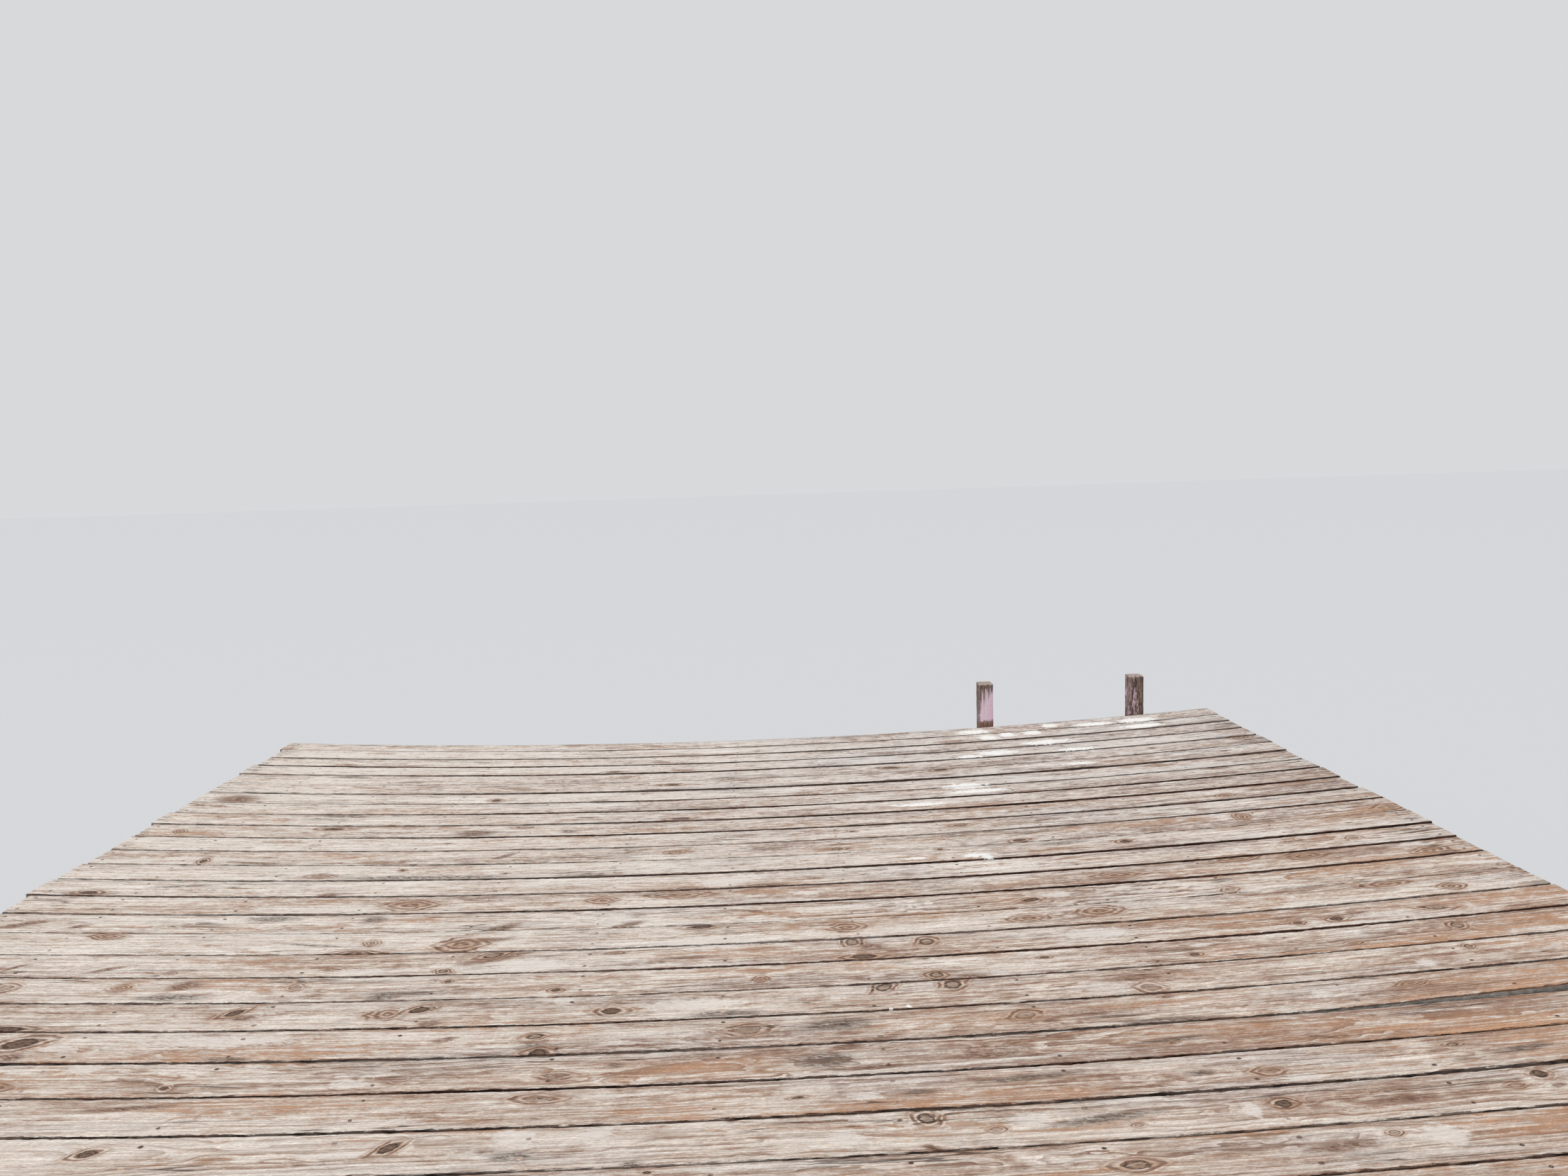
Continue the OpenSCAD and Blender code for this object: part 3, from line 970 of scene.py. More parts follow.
SCREW_INSET = 0.030
SCREW_STRAY = 0.005
# Half the length and width of the stain round a screw, and the share of screws that shine
SCREW_STAIN = (0.0062, 0.0048)
SHINING = 0.22
screws = []
for board in range(BOARDS):
    screws.append([FAR_AWAY])
    for place in [-SIDE_JOIST_PLACE, *JOIST_PLACES, SIDE_JOIST_PLACE]:
        for side in (-1, 1):
            x = place + deck_dice.normal(0, STRAY_ASIDE)
            across = side * (BOARD_HALF - SCREW_INSET) + deck_dice.normal(0, SCREW_STRAY)
            screws[board].append((x, across, *SCREW_STAIN, 0.0, deck_dice.random()))

# How many times a knot's own size its bent rings reach, and the most that they give way
KNOT_REACH = 3.0
MOST_SWELL = 0.026


def store_nearest(mesh, name, marks, middles, grain_start):
    """Tells each face of a board where the nearest mark lies, in the grain's own measure. A
    knot bends the rings for some way round it, so it reaches further than its size."""
    marks = np.array(marks)
    reach = marks[:, 2:4] * np.where(marks[:, 5:] > OVAL, KNOT_REACH, 1.0)
    steps = np.abs(middles[:, None, :2] - marks[None, :, :2]) / reach
    nearest = marks[np.argmin(steps.sum(axis=2), axis=1)] + [grain_start, 0, 0, 0, 0, 0]
    store(mesh, name, "FLOAT_VECTOR", "FACE", nearest[:, :3])
    store(mesh, name + "_form", "FLOAT_VECTOR", "FACE", nearest[:, 3:])


def straight_plank(length):
    """One new plank, straight and level with its top at zero."""
    low, high = (-length / 2, -BOARD_HALF, -BOARD_THICKNESS), (length / 2, BOARD_HALF, 0.0)
    plank = squared_timber("plank", low, high, BOARD_WEAR, BOARD_SPANS, FACE_CUTS)
    bpy.ops.object.mode_set(mode="EDIT")
    choose_edges(plank, lambda middle, run: abs(run.x) > length / BOARD_SPANS / 2)
    bpy.ops.mesh.subdivide(number_cuts=CUTS_IN_SPAN)
    bpy.ops.object.mode_set(mode="OBJECT")
    return plank


# The deck's colours: its film and the wood under it, its late wood and knots, its dirt and
# splashes, its sides and underside with the painted shade in its gaps, and its greys
BLEACHED, CHALK, CREAM = tint(252, 245, 237), tint(240, 228, 216), tint(218, 202, 189)
FAWN, RUSSET = tint(192, 168, 151), tint(165, 132, 113)
BROWN, UMBER = tint(132, 102, 87), tint(94, 69, 57)
ORANGE, APRICOT, AMBER = tint(204, 156, 122), tint(222, 190, 164), tint(188, 146, 116)
LINE_BROWN, KNOT_GREY, KNOT_EDGE = tint(134, 99, 82), tint(124, 101, 85), tint(58, 42, 35)
SOOT, FRAYED_AND_SHADED, SPLASH = tint(104, 91, 82), tint(66, 43, 34), tint(254, 252, 248)
# The sides' brown is darkened to stand for the shade in the gaps.
SHADED_SIDE_BROWN, SIDE_GREY, DUSTY = tint(84, 47, 32), tint(172, 168, 160), tint(172, 156, 142)
SILVER, LEAD = tint(220, 215, 212), tint(108, 97, 92)
MAUVE, FILM_GREY = tint(134, 114, 108), tint(224, 214, 207)


def centred(value, amount):
    """A change by up to half the amount to either side, from a value between 0 and 1."""
    return (value - 0.5) * amount


class Mark:
    """The mark of one kind that lies nearest on a board. A point's u and v in it are 1 at its
    ends and sides."""

    def __init__(self, s, name, along, across):
        x, y, half_length = s.parts(s.stored(name, "Vector"))
        self.half_width, slant, self.kind = s.parts(s.stored(name + "_form", "Vector"))
        step_x, step_y = along - x, across - y
        cosine, sine = s.math("COSINE", slant), s.math("SINE", slant)
        self.u = (step_x * cosine + step_y * sine) / half_length
        self.v = (step_y * cosine - step_x * sine) / self.half_width

    def reach(self, long=1.0, wide=1.0):
        """Distance from its middle, 1 at the edge of an oval that many times as long and wide."""
        u, v = self.u / long, self.v / wide
        return (u * u + v * v).root()

    def pointed_reach(self, long, wide):
        """The same for an oval that is pointed at its ends."""
        u, v = self.u / long, abs(self.v / wide)
        return (v + (v * v + u * u * 4.0).root()) * 0.5


class DeckWood:
    """What the effects on the deck's wood read: where a point lies on its board and on the
    jetty, noises that roughen outlines, the nearest knot or oval, and the board's figure."""

    def __init__(self, s):
        self.grain = s.stored("grain", "Vector")
        self.along, self.across, self.deep = s.parts(self.grain)
        self.to_right, self.towards_water, _ = s.parts(s.object_place())
        self.from_middle = abs(self.to_right)
        slant = self.along * 0.22 + self.across
        slanting = s.node("CombineXYZ", {0: self.along, 1: slant, 2: self.deep})
        self.comb = s.ease(s.noise(slanting, (42.0, 170.0, 170.0), 4.0, 0.8), 0.34, 0.66)
        self.grit = s.ease(s.noise(self.grain, (120.0, 260.0, 260.0), 3.0, 0.7), 0.36, 0.64)
        self.thread = s.ease(s.noise(self.grain, (3.4, 180.0, 180.0), 2.0, 0.6), 0.34, 0.66)
        self.ragged = s.noise(self.grain, (26.0, 120.0, 120.0), 4.0, 0.7)
        self.worn = s.group(WEATHER, Grain=self.grain)

        # Knots and ovals bend the rings round them.
        self.knot = Mark(s, "knot", self.along, self.across)
        self.is_knot = s.math("GREATER_THAN", self.knot.kind, FAINT_KNOT / 2)
        self.is_oval = 1.0 - self.is_knot
        near_knot = self.knot.reach(self.is_knot * 1.5 + 0.62, self.is_knot + 0.62)
        self.bulge = s.math("EXPONENT", -(near_knot * near_knot))
        swell = self.bulge * s.math("MINIMUM", self.knot.half_width * 1.15, MOST_SWELL)
        self.tone, ring_width, figure = s.parts(s.stored("look", "Vector"))
        width = ring_width * 0.001
        self.rings = s.group(
            GROWTH_RINGS, Grain=self.grain, Ring_Width=width, Heart_Depth=0.055, Swell=swell,
        )
        fading = s.noise(self.grain, (1.1, 7.0, 7.0), 2.0)
        self.figure = figure * s.ease(fading, 0.36, 0.62, 0.35, 1.2) + self.bulge


def ragged_mark(s, wood, name, raggedness):
    """How deep a point lies in a mark with a ragged outline, and the mark's kind."""
    mark = Mark(s, name, wood.along, wood.across)
    reach = mark.reach() + centred(wood.ragged, raggedness) + centred(wood.comb, 0.5)
    return s.ease(reach, 1.2, 0.5), mark.kind


def worn_through(s, wood, film):
    """How bare the wood is, from 0 to 1, where its bleached film is worn through in bands
    along the rings."""
    rings, worn, towards_water = wood.rings, wood.worn, wood.towards_water
    crisp = s.ease(towards_water, -1.0, 3.4, 0.64, 1.9)
    bare = wood.tone * 0.24 + 0.42 + centred(worn["Patch"], 0.46) + centred(worn["Smear"], 0.34)
    bare = bare + centred(worn["Blotch"], 0.30) * crisp + rings["Curl"] * 0.18
    bare = bare + (centred(rings["Year"], 0.26) + centred(rings["Ring"], 0.32)) * wood.figure
    bare = bare + wood.bulge * wood.is_oval * 0.22 - film * 0.45
    bare = s.ease(bare, -0.20, 1.15, s.ease(towards_water, -1.2, 1.2, 0.20, 0.0), 0.86)
    fine = centred(wood.comb, 0.24) + centred(rings["Fibre"], 0.22) + centred(wood.thread, 0.24)
    return bare - s.ease(towards_water, 1.5, 3.2, 0.0, 0.06) + fine * crisp


def film_and_wood(s, wood, bare):
    """The film and the wood under it, lines of late wood that are broken where the surface is
    torn, and warmer and cooler stretches."""
    shades = (0.0, BLEACHED), (0.14, CHALK), (0.32, CREAM), (0.48, FAWN)
    colour = s.ramp(bare * 0.66 + 0.14, *shades, (0.62, RUSSET), (0.75, BROWN), (0.94, UMBER))
    lines = wood.rings["Late Wood"] * wood.figure * s.ease(bare, 0.0, 0.8, 0.35, 0.95)
    torn = wood.comb + wood.grit - wood.bulge * 0.5
    lines = s.math("MINIMUM", lines, 0.85) * s.ease(torn, 0.4, 1.2, 1.0, 0.25)
    colour = s.mix(lines, colour, s.mix(wood.comb, LINE_BROWN, UMBER))
    hue = s.noise(wood.grain, (1.3, 9.0, 9.0), 2.0)
    warm = s.ease(hue, 0.50, 0.62, 0.0, 0.62) + s.ease(wood.tone, 0.2, 1.1, 0.0, 0.46)
    warm = s.math("MAXIMUM", warm, s.ease(wood.bulge, 0.15, 0.8) * 0.4)
    colour = s.mix(warm * s.ease(bare, 0.25, 0.75), colour, ORANGE)
    cool = s.ease(hue, 0.47, 0.38, 0.0, 0.30) * s.ease(wood.to_right, -2.2, 0.0, 0.2, 1.0)
    return s.mix(cool, colour, s.mix(s.ease(bare, 0.1, 0.9), SILVER, MAUVE))


def torn_fibres(s, wood, colour):
    """Light and dark fibres, pale scuffs across the grain, chalky flecks and dark pits."""
    turned = s.node("CombineXYZ", {0: wood.across + wood.along, 1: wood.across - wood.along})
    scuff = s.noise(turned, (9.0, 70.0, 0.0), 3.0, 0.6)
    fibres = s.ease(wood.rings["Fibre"], 0.0, 1.0, 0.84, 1.08) * s.ease(wood.grit, 0.0, 1.0, 1.08, 0.88)
    fibres = fibres * s.ease(wood.thread, 0.0, 1.0, 1.04, 0.94) * s.ease(scuff, 0.35, 0.7, 0.95, 1.07)
    colour = s.lit(colour, fibres)
    colour = s.mix(wood.worn["Fleck"] * 0.55, colour, CHALK)
    return s.mix(wood.worn["Pit"] * 0.6, colour, BROWN)


def dirt_and_streaks(s, wood, film, colour):
    """Grey dirt, patches where the film is whole, and dark red streaks."""
    comb = wood.comb
    patch, kind = ragged_mark(s, wood, "patch", 1.5)
    smudge = patch * s.math("COMPARE", kind, SMUDGE, 0.1)
    streak = patch * s.math("COMPARE", kind, STREAK, 0.1)
    dirt = s.math("MAXIMUM", wood.worn["Soil"] * 0.42, smudge * 0.9)
    colour = s.mix(dirt * s.ease(comb, 0.1, 0.9, 0.35, 1.15), colour, SOOT)
    whole_film = s.ease(film, 0.40, 0.62) * s.ease(comb, 0.1, 0.8, 0.62, 0.30)
    colour = s.mix(whole_film, colour, FILM_GREY)
    return s.mix(streak * s.ease(comb, 0.0, 0.7, 0.6, 1.0), colour, s.mix(comb, RUSSET, UMBER))


def greyer_to_the_right(s, wood, bare, colour):
    """The boards by the water are greyer towards the right."""
    share = s.ease(wood.towards_water, 0.8, 3.4, 0.0, 0.42) * s.ease(wood.to_right, -2.4, 2.0)
    return s.mix(share, colour, s.mix(s.ease(bare, 0.1, 0.9), SILVER, LEAD))


def eyes_and_knots(s, wood, colour):
    """A knot lies in an eye of nested rings. It is grey-brown in the middle, and the thin dark
    line round it is broken in places. Gives the colour and that line."""
    knot, is_knot, comb = wood.knot, wood.is_knot, wood.comb
    wobble = s.ease(s.noise(wood.grain, (55.0, 120.0, 120.0), 2.0), 0.34, 0.66)
    away = knot.reach() + centred(wood.ragged, 0.55) + centred(wobble, 0.26)
    eye = knot.pointed_reach(is_knot * 2.5 + 1.2, is_knot * 1.6 + 1.1)
    eye = eye + centred(s.noise(wood.grain, (9.0, 34.0, 34.0), 2.0, 0.6), 0.55)
    nested = s.math("FRACT", (eye + 4.05) / (is_knot * 0.05 + 0.27))
    nested = s.ease(nested, 0.15, 0.6) * s.ease(nested, 1.0, 0.85) * s.ease(comb, 0.0, 0.9, 1.0, 0.7)
    nested = nested * s.math("MAXIMUM", wood.is_oval, s.ease(away, 0.95, 1.2))
    lopsided = s.ease(s.noise(wood.grain, (9.0, 30.0, 30.0), 1.0), 0.34, 0.58, 0.3, 1.0)
    in_eye = s.ease(eye, 1.02, 0.75) * s.math("MAXIMUM", lopsided, s.ease(eye, 0.7, 0.35))
    in_eye = in_eye * s.ease(is_knot, 0.0, 1.0, s.ease(knot.half_width, 0.01, 0.03, 0.6, 1.0), 1.0)
    colour = s.mix(in_eye * 0.45, colour, s.mix(comb, APRICOT, AMBER))
    colour = s.mix(in_eye * nested, colour, s.mix(wood.grit, LINE_BROWN, UMBER))

    core = s.ease(away, 1.04, 0.90) * s.ease(knot.kind, 0.7, 1.0, 0.45, 0.95) * is_knot
    heart = s.ease(away, 0.6, 0.1) * s.ease(comb, 0.2, 0.8)
    rim = s.ease(away, 0.64, 0.90) * s.ease(away, 1.22, 1.03) * is_knot
    rim = rim * s.ease(knot.kind, 0.4, 0.7, 0.3, 1.0) * s.ease(wood.ragged, 0.30, 0.55, 0.25, 1.0)
    colour = s.mix(core, colour, s.mix(wood.grit, KNOT_GREY, s.mix(comb, BROWN, KNOT_EDGE)))
    colour = s.mix(core * heart * 0.75, colour, KNOT_EDGE)
    return s.mix(rim * 0.9, colour, KNOT_EDGE), rim


def edges_and_sides(s, wood, colour):
    """Edges are frayed, and along the gaps a dark band of fray and painted shade is darker along
    some gaps than along others. The sides are painted brown and near black as shade in the gaps,
    grey as light in the gaps where that painted shade is faint, and dusty below. Gives the colour
    and the frayed, shaded edge."""
    comb, rings, deep = wood.comb, wood.rings, wood.deep
    fray_and_gap_shade = s.stored("fray_and_gap_shade")
    fray = s.noise(wood.grain, (16.0, 70.0, 70.0), 5.0, 0.8)
    # The band of fray and painted gap shade widens where the gap's shade is deeper.
    from_edge = abs(wood.across) - (BOARD_HALF + 0.0074) + fray * 0.016 + (fray_and_gap_shade - 1.0) * 0.0022
    # It widens on the boards towards the water too, as painted shade in their gaps.
    from_edge = from_edge + s.ease(wood.towards_water, -0.5, 3.4, 0.0, 0.0040)
    edge = s.ease(from_edge, -0.0010, 0.0008) * s.ease(fray_and_gap_shade, 0.0, 1.0)
    # The band is painted dark brown: partly fray, partly painted shade in the gap.
    colour = s.mix(edge * s.ease(fray_and_gap_shade, 1.0, 1.6, 0.85, 1.0), colour, FRAYED_AND_SHADED)
    outside = s.ease(wood.from_middle, HALF_WIDTH - 0.03, HALF_WIDTH)
    # Sides are painted grey, as light in the gap, where the gap's painted shade is faint.
    grey = s.math("MAXIMUM", s.stored("bleached_side"), outside * 0.8)
    grey = s.math("MAXIMUM", grey, s.ease(fray_and_gap_shade, 0.9, 0.1))
    # The sides' brown is painted shade in the gaps as well as the wood's own colour.
    side = s.mix(grey * s.ease(comb, 0.0, 1.0, 1.0, 0.6), SHADED_SIDE_BROWN, SIDE_GREY)
    side = s.mix(outside * rings["Late Wood"] * 0.6, side, SHADED_SIDE_BROWN)
    side = s.mix(s.ease(deep, -0.0345, -0.0365), side, s.mix(comb * rings["Fibre"], BROWN, DUSTY))
    # The darkest gaps get painted near black shade on the sides deep in them.
    side = s.mix(s.ease(fray_and_gap_shade, 1.0, 2.0, 0.0, 0.75), side, SPLIT_AND_SHADE_BLACK)
    return s.mix(s.ease(deep, -0.002, -0.006), colour, side), edge


def cracked_ends(s, wood, colour):
    """Cracks run in from the ends. Gives the colour and the cracks."""
    cracks = s.ease(abs(s.noise(wood.grain, (1.6, 46.0, 14.0), 2.0) - 0.5), 0.014, 0.005)
    reach = s.stored("end_cracks") * 0.22 + wood.from_middle
    cracks = cracks * s.ease(reach, HALF_WIDTH + 0.02, HALF_WIDTH + 0.07)
    return s.mix(cracks * 0.85, colour, KNOT_EDGE), cracks


def round_screws(s, wood, colour):
    """The wood is pale round the screws that shine, and stained round the rusty ones. Gives
    the colour and the stains."""
    screw = Mark(s, "screw", wood.along, wood.across)
    pale = s.ease(screw.reach() + centred(wood.ragged, 0.5), 1.5, 1.1)
    pale = pale * s.ease(screw.kind, SHINING + 0.01, SHINING)
    colour = s.mix(pale * 0.5, colour, APRICOT)
    stains = s.ease(screw.reach() + centred(wood.ragged, 0.9), 1.25, 0.7)
    stains = stains * s.ease(screw.kind, SHINING, 0.75, 0.05, 0.75)
    return s.mix(stains, colour, KNOT_EDGE), stains


def splashed(s, wood, colour):
    """White splashes of bird droppings lie in streaks near the water's edge."""
    splash = Mark(s, "splash", wood.along, wood.across)
    wet = s.ease(s.noise(wood.grain, (40.0, 70.0, 70.0), 5.0, 0.8), 0.34, 0.66)
    white = s.ease(splash.reach() + centred(wet, 0.9), 1.0, 0.88)
    return s.mix(white * s.ease(wood.deep, -0.010, -0.004) * 0.92, colour, SPLASH)


def weathered_deck():
    """The deck's wood, with each effect laid over the ones before it."""
    material, s, shader = new_material("bleached deck wood", 0.8)
    wood = DeckWood(s)
    rings = wood.rings
    film, _ = ragged_mark(s, wood, "film", 1.3)
    bare = worn_through(s, wood, film)
    colour = film_and_wood(s, wood, bare)
    colour = torn_fibres(s, wood, colour)
    colour = dirt_and_streaks(s, wood, film, colour)
    colour = greyer_to_the_right(s, wood, bare, colour)
    colour, rim = eyes_and_knots(s, wood, colour)
    colour = s.mix(rings["Check"] * 0.75, colour, KNOT_EDGE)
    colour, edge = edges_and_sides(s, wood, colour)
    colour, cracks = cracked_ends(s, wood, colour)
    colour, stains = round_screws(s, wood, colour)
    colour = splashed(s, wood, colour)
    height = rings["Late Wood"] * 0.4 + rings["Fibre"] * 0.35 - bare * 0.45 - rings["Check"] * 1.5
    height = height - s.math("MAXIMUM", rim, cracks) * 0.8 - edge * 0.7 - stains
    set_surface(s, shader, colour, height, 0.0010, s.ease(bare, 0.1, 0.9, 0.9, 0.74))
    return material


def board_ends(bay):
    """Each board's left and right end in one bay on the level, read from the modelled deck."""
    points = coordinates(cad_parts[f"deck_boards_bay_{bay}"].data)
    numbers = np.floor((points[:, 1] - SHORE_EDGE + PLAIN_GAP / 2) / BOARD_PITCH).astype(int)
    reach = 1 + BOARD_THICKNESS / DRUM_RADIUS
    ends = {}
    for board in np.unique(numbers):
        row = points[numbers == board, 0]
        ends[int(board)] = (row.min() / reach, row.max() / reach)
    return ends


DECK_WOOD = weathered_deck()
MARKS = {"knot": knots, "patch": patches, "film": films, "screw": screws, "splash": splashes}
END_NICKS, SIDE_NICKS, SURFACE_WEAR = 0.003, 0.0035, 0.0003
# Boards are browner towards the right, and paler from this one on towards the water.
BROWNER_RIGHT, BROWNEST, PALER_BY_WATER, FIRST_PALER = 0.7, 0.45, 1.2, 22
MOST_BLEACHED_SIDE = 0.35
new_plank = straight_plank(2 * HALF_WIDTH)


def tell_faces(mesh, board, dice):
    """Tells each face of a board its nearest marks, its looks, how bleached its sides are, how
    dark the fray and painted shade along its gaps are, and how cracked its ends."""
    middles = np.empty(len(mesh.polygons) * 3)
    mesh.polygons.foreach_get("center", middles)
    middles = middles.reshape(-1, 3)
    for name, marks in MARKS.items():
        store_nearest(mesh, name, marks[board], middles, GRAIN_STEP * board)
    look = np.tile(looks[board], (len(middles), 1))
    brownness = BROWNEST - PALER_BY_WATER * max(board, FIRST_PALER) / BOARDS
    look[:, 0] += BROWNER_RIGHT * middles[:, 0] / HALF_WIDTH + brownness
    store(mesh, "look", "FLOAT_VECTOR", "FACE", look)
    bleached = 1.0 if board == LIFTED_BOARD else MOST_BLEACHED_SIDE * dice.random() ** 2
    store(mesh, "bleached_side", "FLOAT", "FACE", np.full(len(middles), bleached))
    # The fray and painted shade along the gap on each side of the board
    on_shore_side = np.interp(middles[:, 0], DARK_PLACES, darkness[board])
    on_water_side = np.interp(middles[:, 0], DARK_PLACES, darkness[board + 1])
    fray_and_gap_shade = np.where(middles[:, 1] < 0, on_shore_side, on_water_side)
    store(mesh, "fray_and_gap_shade", "FLOAT", "FACE", fray_and_gap_shade)
    left_cracks, right_cracks = dice.random(2) ** 2
    end_cracks = np.where(middles[:, 0] < 0, left_cracks, right_cracks)
    store(mesh, "end_cracks", "FLOAT", "FACE", end_cracks)


def weathered_board(board, left_end, right_end):
    """One board, cut to its length and nicked, and then bent and laid in its place."""
    dice = np.random.default_rng(900 + board)
    plank = copied(new_plank)
    points = coordinates(plank.data)
    ragged_end = np.abs(points[:, 0]) > HALF_WIDTH - BOARD_WEAR * 1.5
    points[:, 0] = left_end + (points[:, 0] + HALF_WIDTH) * (right_end - left_end) / (2 * HALF_WIDTH)
    nicks = dice.uniform(0.0, END_NICKS, ragged_end.sum())
    points[ragged_end, 0] -= np.sign(points[ragged_end, 0]) * nicks
    move_points(plank.data, points)
    store_grain(plank, 0, 1, (0, 0, 0), GRAIN_STEP * board)
    tell_faces(plank.data, board, dice)

    nicked = np.abs(points[:, 1]) > BOARD_HALF - BOARD_WEAR
    points[nicked, 1] -= np.sign(points[nicked, 1]) * SIDE_NICKS * dice.random(nicked.sum()) ** 3
    points[:, 2] -= dice.uniform(0.0, SURFACE_WEAR, len(points))
    move_points(plank.data, laid(board, points))
    return plank


for bay in range(1, BAYS + 1):
    boards = [weathered_board(board, *ends) for board, ends in board_ends(bay).items()]
    deck = joined(f"bay_{bay}_deck_boards", boards)
    sawn_smooth(deck)
    stands_for(deck, DECK_WOOD, "deck_timber", f"deck_boards_bay_{bay}")
bpy.data.objects.remove(new_plank)

# Deck screws
# A pair of coated steel screws holds each board to each joist. Their heads lie a little
# below the wood, rusty or worn bright, with a square drive recess.

HEAD_RADIUS = 0.0042
HEAD_DEPTH = 0.0022
DISH_DEPTH = 0.0003
RECESS_DEPTH = 0.0015


def screw_head():
    """One countersunk head at the origin, facing up, with a square recess."""
    pick()
    place = (0, 0, -HEAD_DEPTH / 2)
    bpy.ops.mesh.primitive_cylinder_add(vertices=8, radius=HEAD_RADIUS, depth=HEAD_DEPTH, location=place)
    head = bpy.context.object
    bpy.ops.object.transform_apply(location=True, rotation=True, scale=True)
    bpy.ops.object.mode_set(mode="EDIT")
    bpy.context.tool_settings.mesh_select_mode = (False, False, True)
    bpy.ops.mesh.select_all(action="DESELECT")
    shape = bmesh.from_edit_mesh(head.data)
    for face in shape.faces:
        face.select_set(face.normal.z > 0.9)
    bmesh.update_edit_mesh(head.data)
    bpy.ops.mesh.inset(thickness=HEAD_RADIUS * 0.2, depth=DISH_DEPTH)
    bpy.ops.mesh.inset(thickness=HEAD_RADIUS * 0.36)
    bpy.ops.mesh.extrude_region_move(TRANSFORM_OT_translate={"value": (0, 0, -RECESS_DEPTH)})
    bpy.ops.object.mode_set(mode="OBJECT")
    return head


RUSTY_SCREW = rusty_steel(
    "rusty screw steel", bright=tint(232, 206, 188), rust=tint(84, 56, 42), roughness=0.6,
)
SHINING_SCREW = rusty_steel(
    "rubbed screw steel", bright=tint(250, 238, 228), rust=tint(214, 188, 170), roughness=0.5,
)
# A head stands this far over the wood at most, and is sunk by up to this much.
HEAD_PROUD, HEAD_SUNK = 0.0001, 0.0004
head = screw_head()
for bay in range(1, BAYS + 1):
    parts = []
    for board in board_ends(bay):
        places = np.array([mark for mark in screws[board] if mark is not FAR_AWAY])
        tops = laid(board, np.stack([places[:, 0], places[:, 1], np.zeros(len(places))], axis=1))
        for top, chance in zip(tops, places[:, 5]):
            sunk = top + np.array([0.0, 0.0, HEAD_PROUD - HEAD_SUNK * chance])
            screw = placed_copy(head, Matrix.Rotation(chance * math.pi, 3, "Z"), sunk)
            screw.data.materials.append(SHINING_SCREW if chance < SHINING else RUSTY_SCREW)
            parts.append(screw)
    row_of_screws = joined(f"bay_{bay}_deck_screws", parts)
    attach(row_of_screws, "root")
bpy.data.objects.remove(head)

# Mooring posts
# Two square softwood posts, 77 mm wide, stand against the water end for tying up boats. The
# left one keeps half of its faded pink paint, and the right one only streaks of it.

POST_WEAR = 0.004
POST_NICKS = 0.0012
POST_SPANS = 40
LEFT_SPLIT_LENGTH, LEFT_SPLIT_DEPTH = 0.35, 0.009
BACK_SPLIT_LENGTH, BACK_SPLIT_DEPTH = 0.24, 0.008
DECK_AT_POSTS = 1.02
POST_BOLT_DROPS = (0.12, 0.36)


def post_wood(name, low, high, paint, band, paint_top, flaking):
    """Brown weathered wood under old pink paint. The paint is left on a band of the post's
    width, given as shares from its left side, up to paint_top as a share of its height."""
    olive, dark, tan = tint(120, 98, 87), tint(54, 42, 38), tint(190, 164, 150)
    pale, rust = tint(228, 216, 208), tint(146, 102, 84)
    material, s, shader = new_material(name, 0.8)
    grain = s.stored("grain", "Vector")
    rings = s.group(GROWTH_RINGS, Grain=grain, Ring_Width=0.005, Heart_Depth=0.02)
    place = s.object_place()
    x, _, z = s.parts(place)
    share = (x - low[0]) / (high[0] - low[0])
    rise = (z - DECK_AT_POSTS) / (high[2] - DECK_AT_POSTS)
    streaks = s.ease(s.noise(place, (130.0, 130.0, 9.0), 4.0, 0.7), 0.40, 0.60)
    specks = s.ease(s.noise(place, (300.0, 300.0, 110.0), 4.0, 0.7), 0.36, 0.64)
    drips = s.ease(s.noise(place, (210.0, 210.0, 1.2), 2.0), 0.40, 0.60)
    colour = s.mix(streaks, dark, olive)
    colour = s.mix(specks * s.ease(streaks, 0.2, 0.8, 0.25, 0.85), colour, tan)

    # The paint's bounds: ragged sides and foot, and dark drips down from its top
    left_side = s.ease(share + centred(specks, 0.14), band[0] - 0.03, band[0] + 0.03)
    right_side = s.ease(share + centred(streaks, 0.16), band[1] + 0.04, band[1] - 0.04)
    drop = drips * s.ease(share, 0.2, 0.9, 0.66, 0.16)
    head = s.ease(rise + drop + centred(specks, 0.05), paint_top + 0.01, paint_top - 0.01)
    foot = s.ease(rise + centred(specks, 0.12), 0.01, 0.04)
    flakes = s.noise(place, (70.0, 70.0, 16.0), 5.0, 0.75)
    kept = s.ease(flakes, flaking - 0.015, flaking + 0.015)
    coat = left_side * right_side * head * foot * kept
    painted = s.mix(streaks, tint(*paint), tint(*(min(value + 10, 255) for value in paint)))
    colour = s.mix(coat * s.ease(specks, 0.0, 0.3, 0.85, 1.0), colour, painted)
    stained = s.ease(rise, 0.09, 0.0) * s.ease(specks, 0.2, 0.8, 0.8, 0.2)
    colour = s.mix(stained, colour, rust)

    # The sawn top is paler, and the foot is green from the water.
    end_grain = s.ease(z + centred(specks, 0.006), high[2] - 0.009, high[2] - 0.003)
    ends = s.mix(s.ease(s.noise(place, 110.0, 4.0, 0.7), 0.40, 0.60), s.mix(specks, olive, tan), pale)
    colour = s.mix(end_grain * 0.85, colour, s.mix(rings["Late Wood"], ends, olive))
    colour = s.mix(s.ease(z, WET_HEIGHT, 0.02) * 0.75, colour, ALGAE)
    colour = s.mix(rings["Check"], colour, SPLIT_AND_SHADE_BLACK)
    height = coat * 0.5 + streaks * 0.5 + specks * 0.3 - rings["Check"] * 1.5
    set_surface(s, shader, colour, height, 0.0012, s.ease(coat, 0.0, 1.0, 0.88, 0.62))
    return material


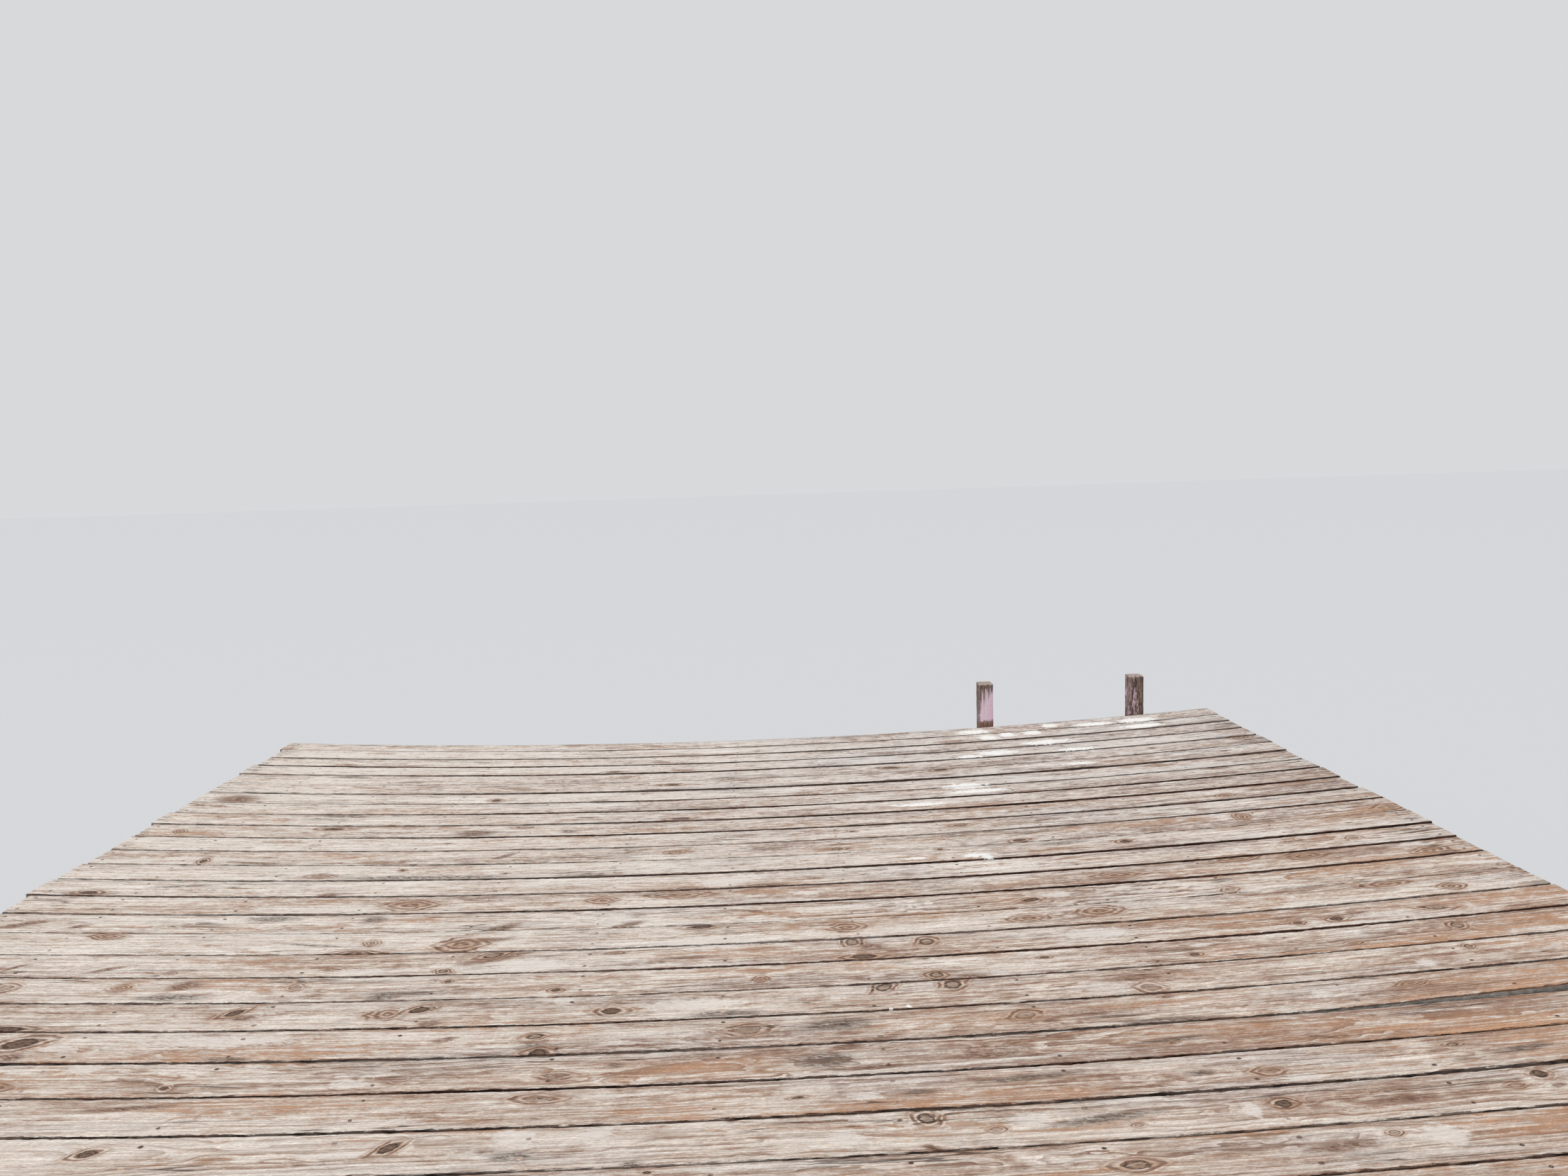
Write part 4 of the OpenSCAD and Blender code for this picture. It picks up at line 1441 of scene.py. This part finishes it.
for node, slot, paint, band, paint_top, flaking in (
    ("left_mooring_post", "painted_post_timber", (255, 222, 238), (0.04, 1.2), 0.90, 0.30),
    ("right_mooring_post", "bare_post_timber", (226, 190, 208), (-0.4, 0.58), 1.3, 0.535),
):
    dice = np.random.default_rng(len(node))
    low, high = (np.array(corner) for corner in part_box(node))
    post = squared_timber(node + "_timber", low, high, POST_WEAR, POST_SPANS, FACE_CUTS)
    middle = (low + high) / 2
    x, y, top = middle[0], middle[1], high[2]
    store_grain(post, 2, 0, middle, 50.0 * dice.random())
    wear_arrises(post, dice, 2, low, high, POST_NICKS)
    split_face(post, 2, 1, (y, x), top - LEFT_SPLIT_LENGTH, top + 2 * PAST_TOP, low[0], LEFT_SPLIT_DEPTH)
    split_face(post, 2, 0, (x, y), top - BACK_SPLIT_LENGTH, top + PAST_TOP, high[1], BACK_SPLIT_DEPTH)
    points = coordinates(post.data)
    points[:, 1] = np.minimum(points[:, 1], high[1] - FACE_WORN)
    move_points(post.data, points)
    sawn_smooth(post)
    wood = post_wood(node + " wood", low, high, paint, band, paint_top, flaking)
    stands_for(post, wood, slot, node)
    deck_side = on_edge_plank(x, 0.0, 0.0)[2]
    parts = [
        placed_copy(flush_head, TOWARDS_WATER, (x, high[1], deck_side - drop))
        for drop in POST_BOLT_DROPS
    ]
    bolts = joined(node + "_bolts", parts)
    bolts.data.materials.append(IRON)
    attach(bolts, "root")
bpy.data.objects.remove(flush_head)

# Studio
# A plain pale floor, a pale sky all round and one broad soft light, high on the left and a
# little behind the camera, as the sun stood.

FLOOR_REACH = 150.0
FLOOR_GREY = tint(214, 215, 217)
SUN_TRAVEL = Vector((0.15, 0.09, -0.43))
SUN_STRENGTH = 2.15
SUN_BREADTH = math.radians(9)
SUN_COLOUR = (1.0, 0.97, 0.93)
# The lens sees a sky as pale as the floor, and the pieces are lit by a dimmer, bluer one.
SKY_SEEN = (0.69, 0.695, 0.71, 1.0)
SKY_LIGHT = (0.361, 0.386, 0.42, 1.0)

pick()
bpy.ops.mesh.primitive_plane_add(size=FLOOR_REACH * 2, location=(0, 0, 0))
floor = bpy.context.object
floor.name = "studio_floor"
floor_paint, floor_shades, floor_shader = new_material("pale studio floor", 0.9)
floor_shader.inputs["Base Color"].default_value = FLOOR_GREY
# From below, the floor is clear, so that the underside of the deck can be looked at.
clear = floor_shades.node("BsdfTransparent")
from_below = floor_shades.node("NewGeometry", (), "Backfacing")
painted = Value(floor_shades, floor_shader.outputs[0])
one_sided = floor_shades.node("MixShader", {0: from_below, 1: painted, 2: clear})
floor_shades.feed(floor_paint.node_tree.nodes["Material Output"].inputs["Surface"], one_sided)
floor.data.materials.append(floor_paint)

sun = bpy.data.objects.new("soft sun", bpy.data.lights.new("soft sun", "SUN"))
bpy.context.scene.collection.objects.link(sun)
sun.data.energy = SUN_STRENGTH
sun.data.angle = SUN_BREADTH
sun.data.color = SUN_COLOUR
sun.rotation_euler = SUN_TRAVEL.to_track_quat("-Z", "Y").to_euler()

world = bpy.data.worlds.new("pale studio")
bpy.context.scene.world = world
world.use_nodes = True
sky_shades = Shades(world.node_tree)
seen_by_lens = sky_shades.node("LightPath", (), "Is Camera Ray")
sky_colour = sky_shades.mix(seen_by_lens, SKY_LIGHT, SKY_SEEN)
sky_shades.feed(world.node_tree.nodes["Background"].inputs["Color"], sky_colour)
bpy.context.scene.view_settings.view_transform = "Standard"
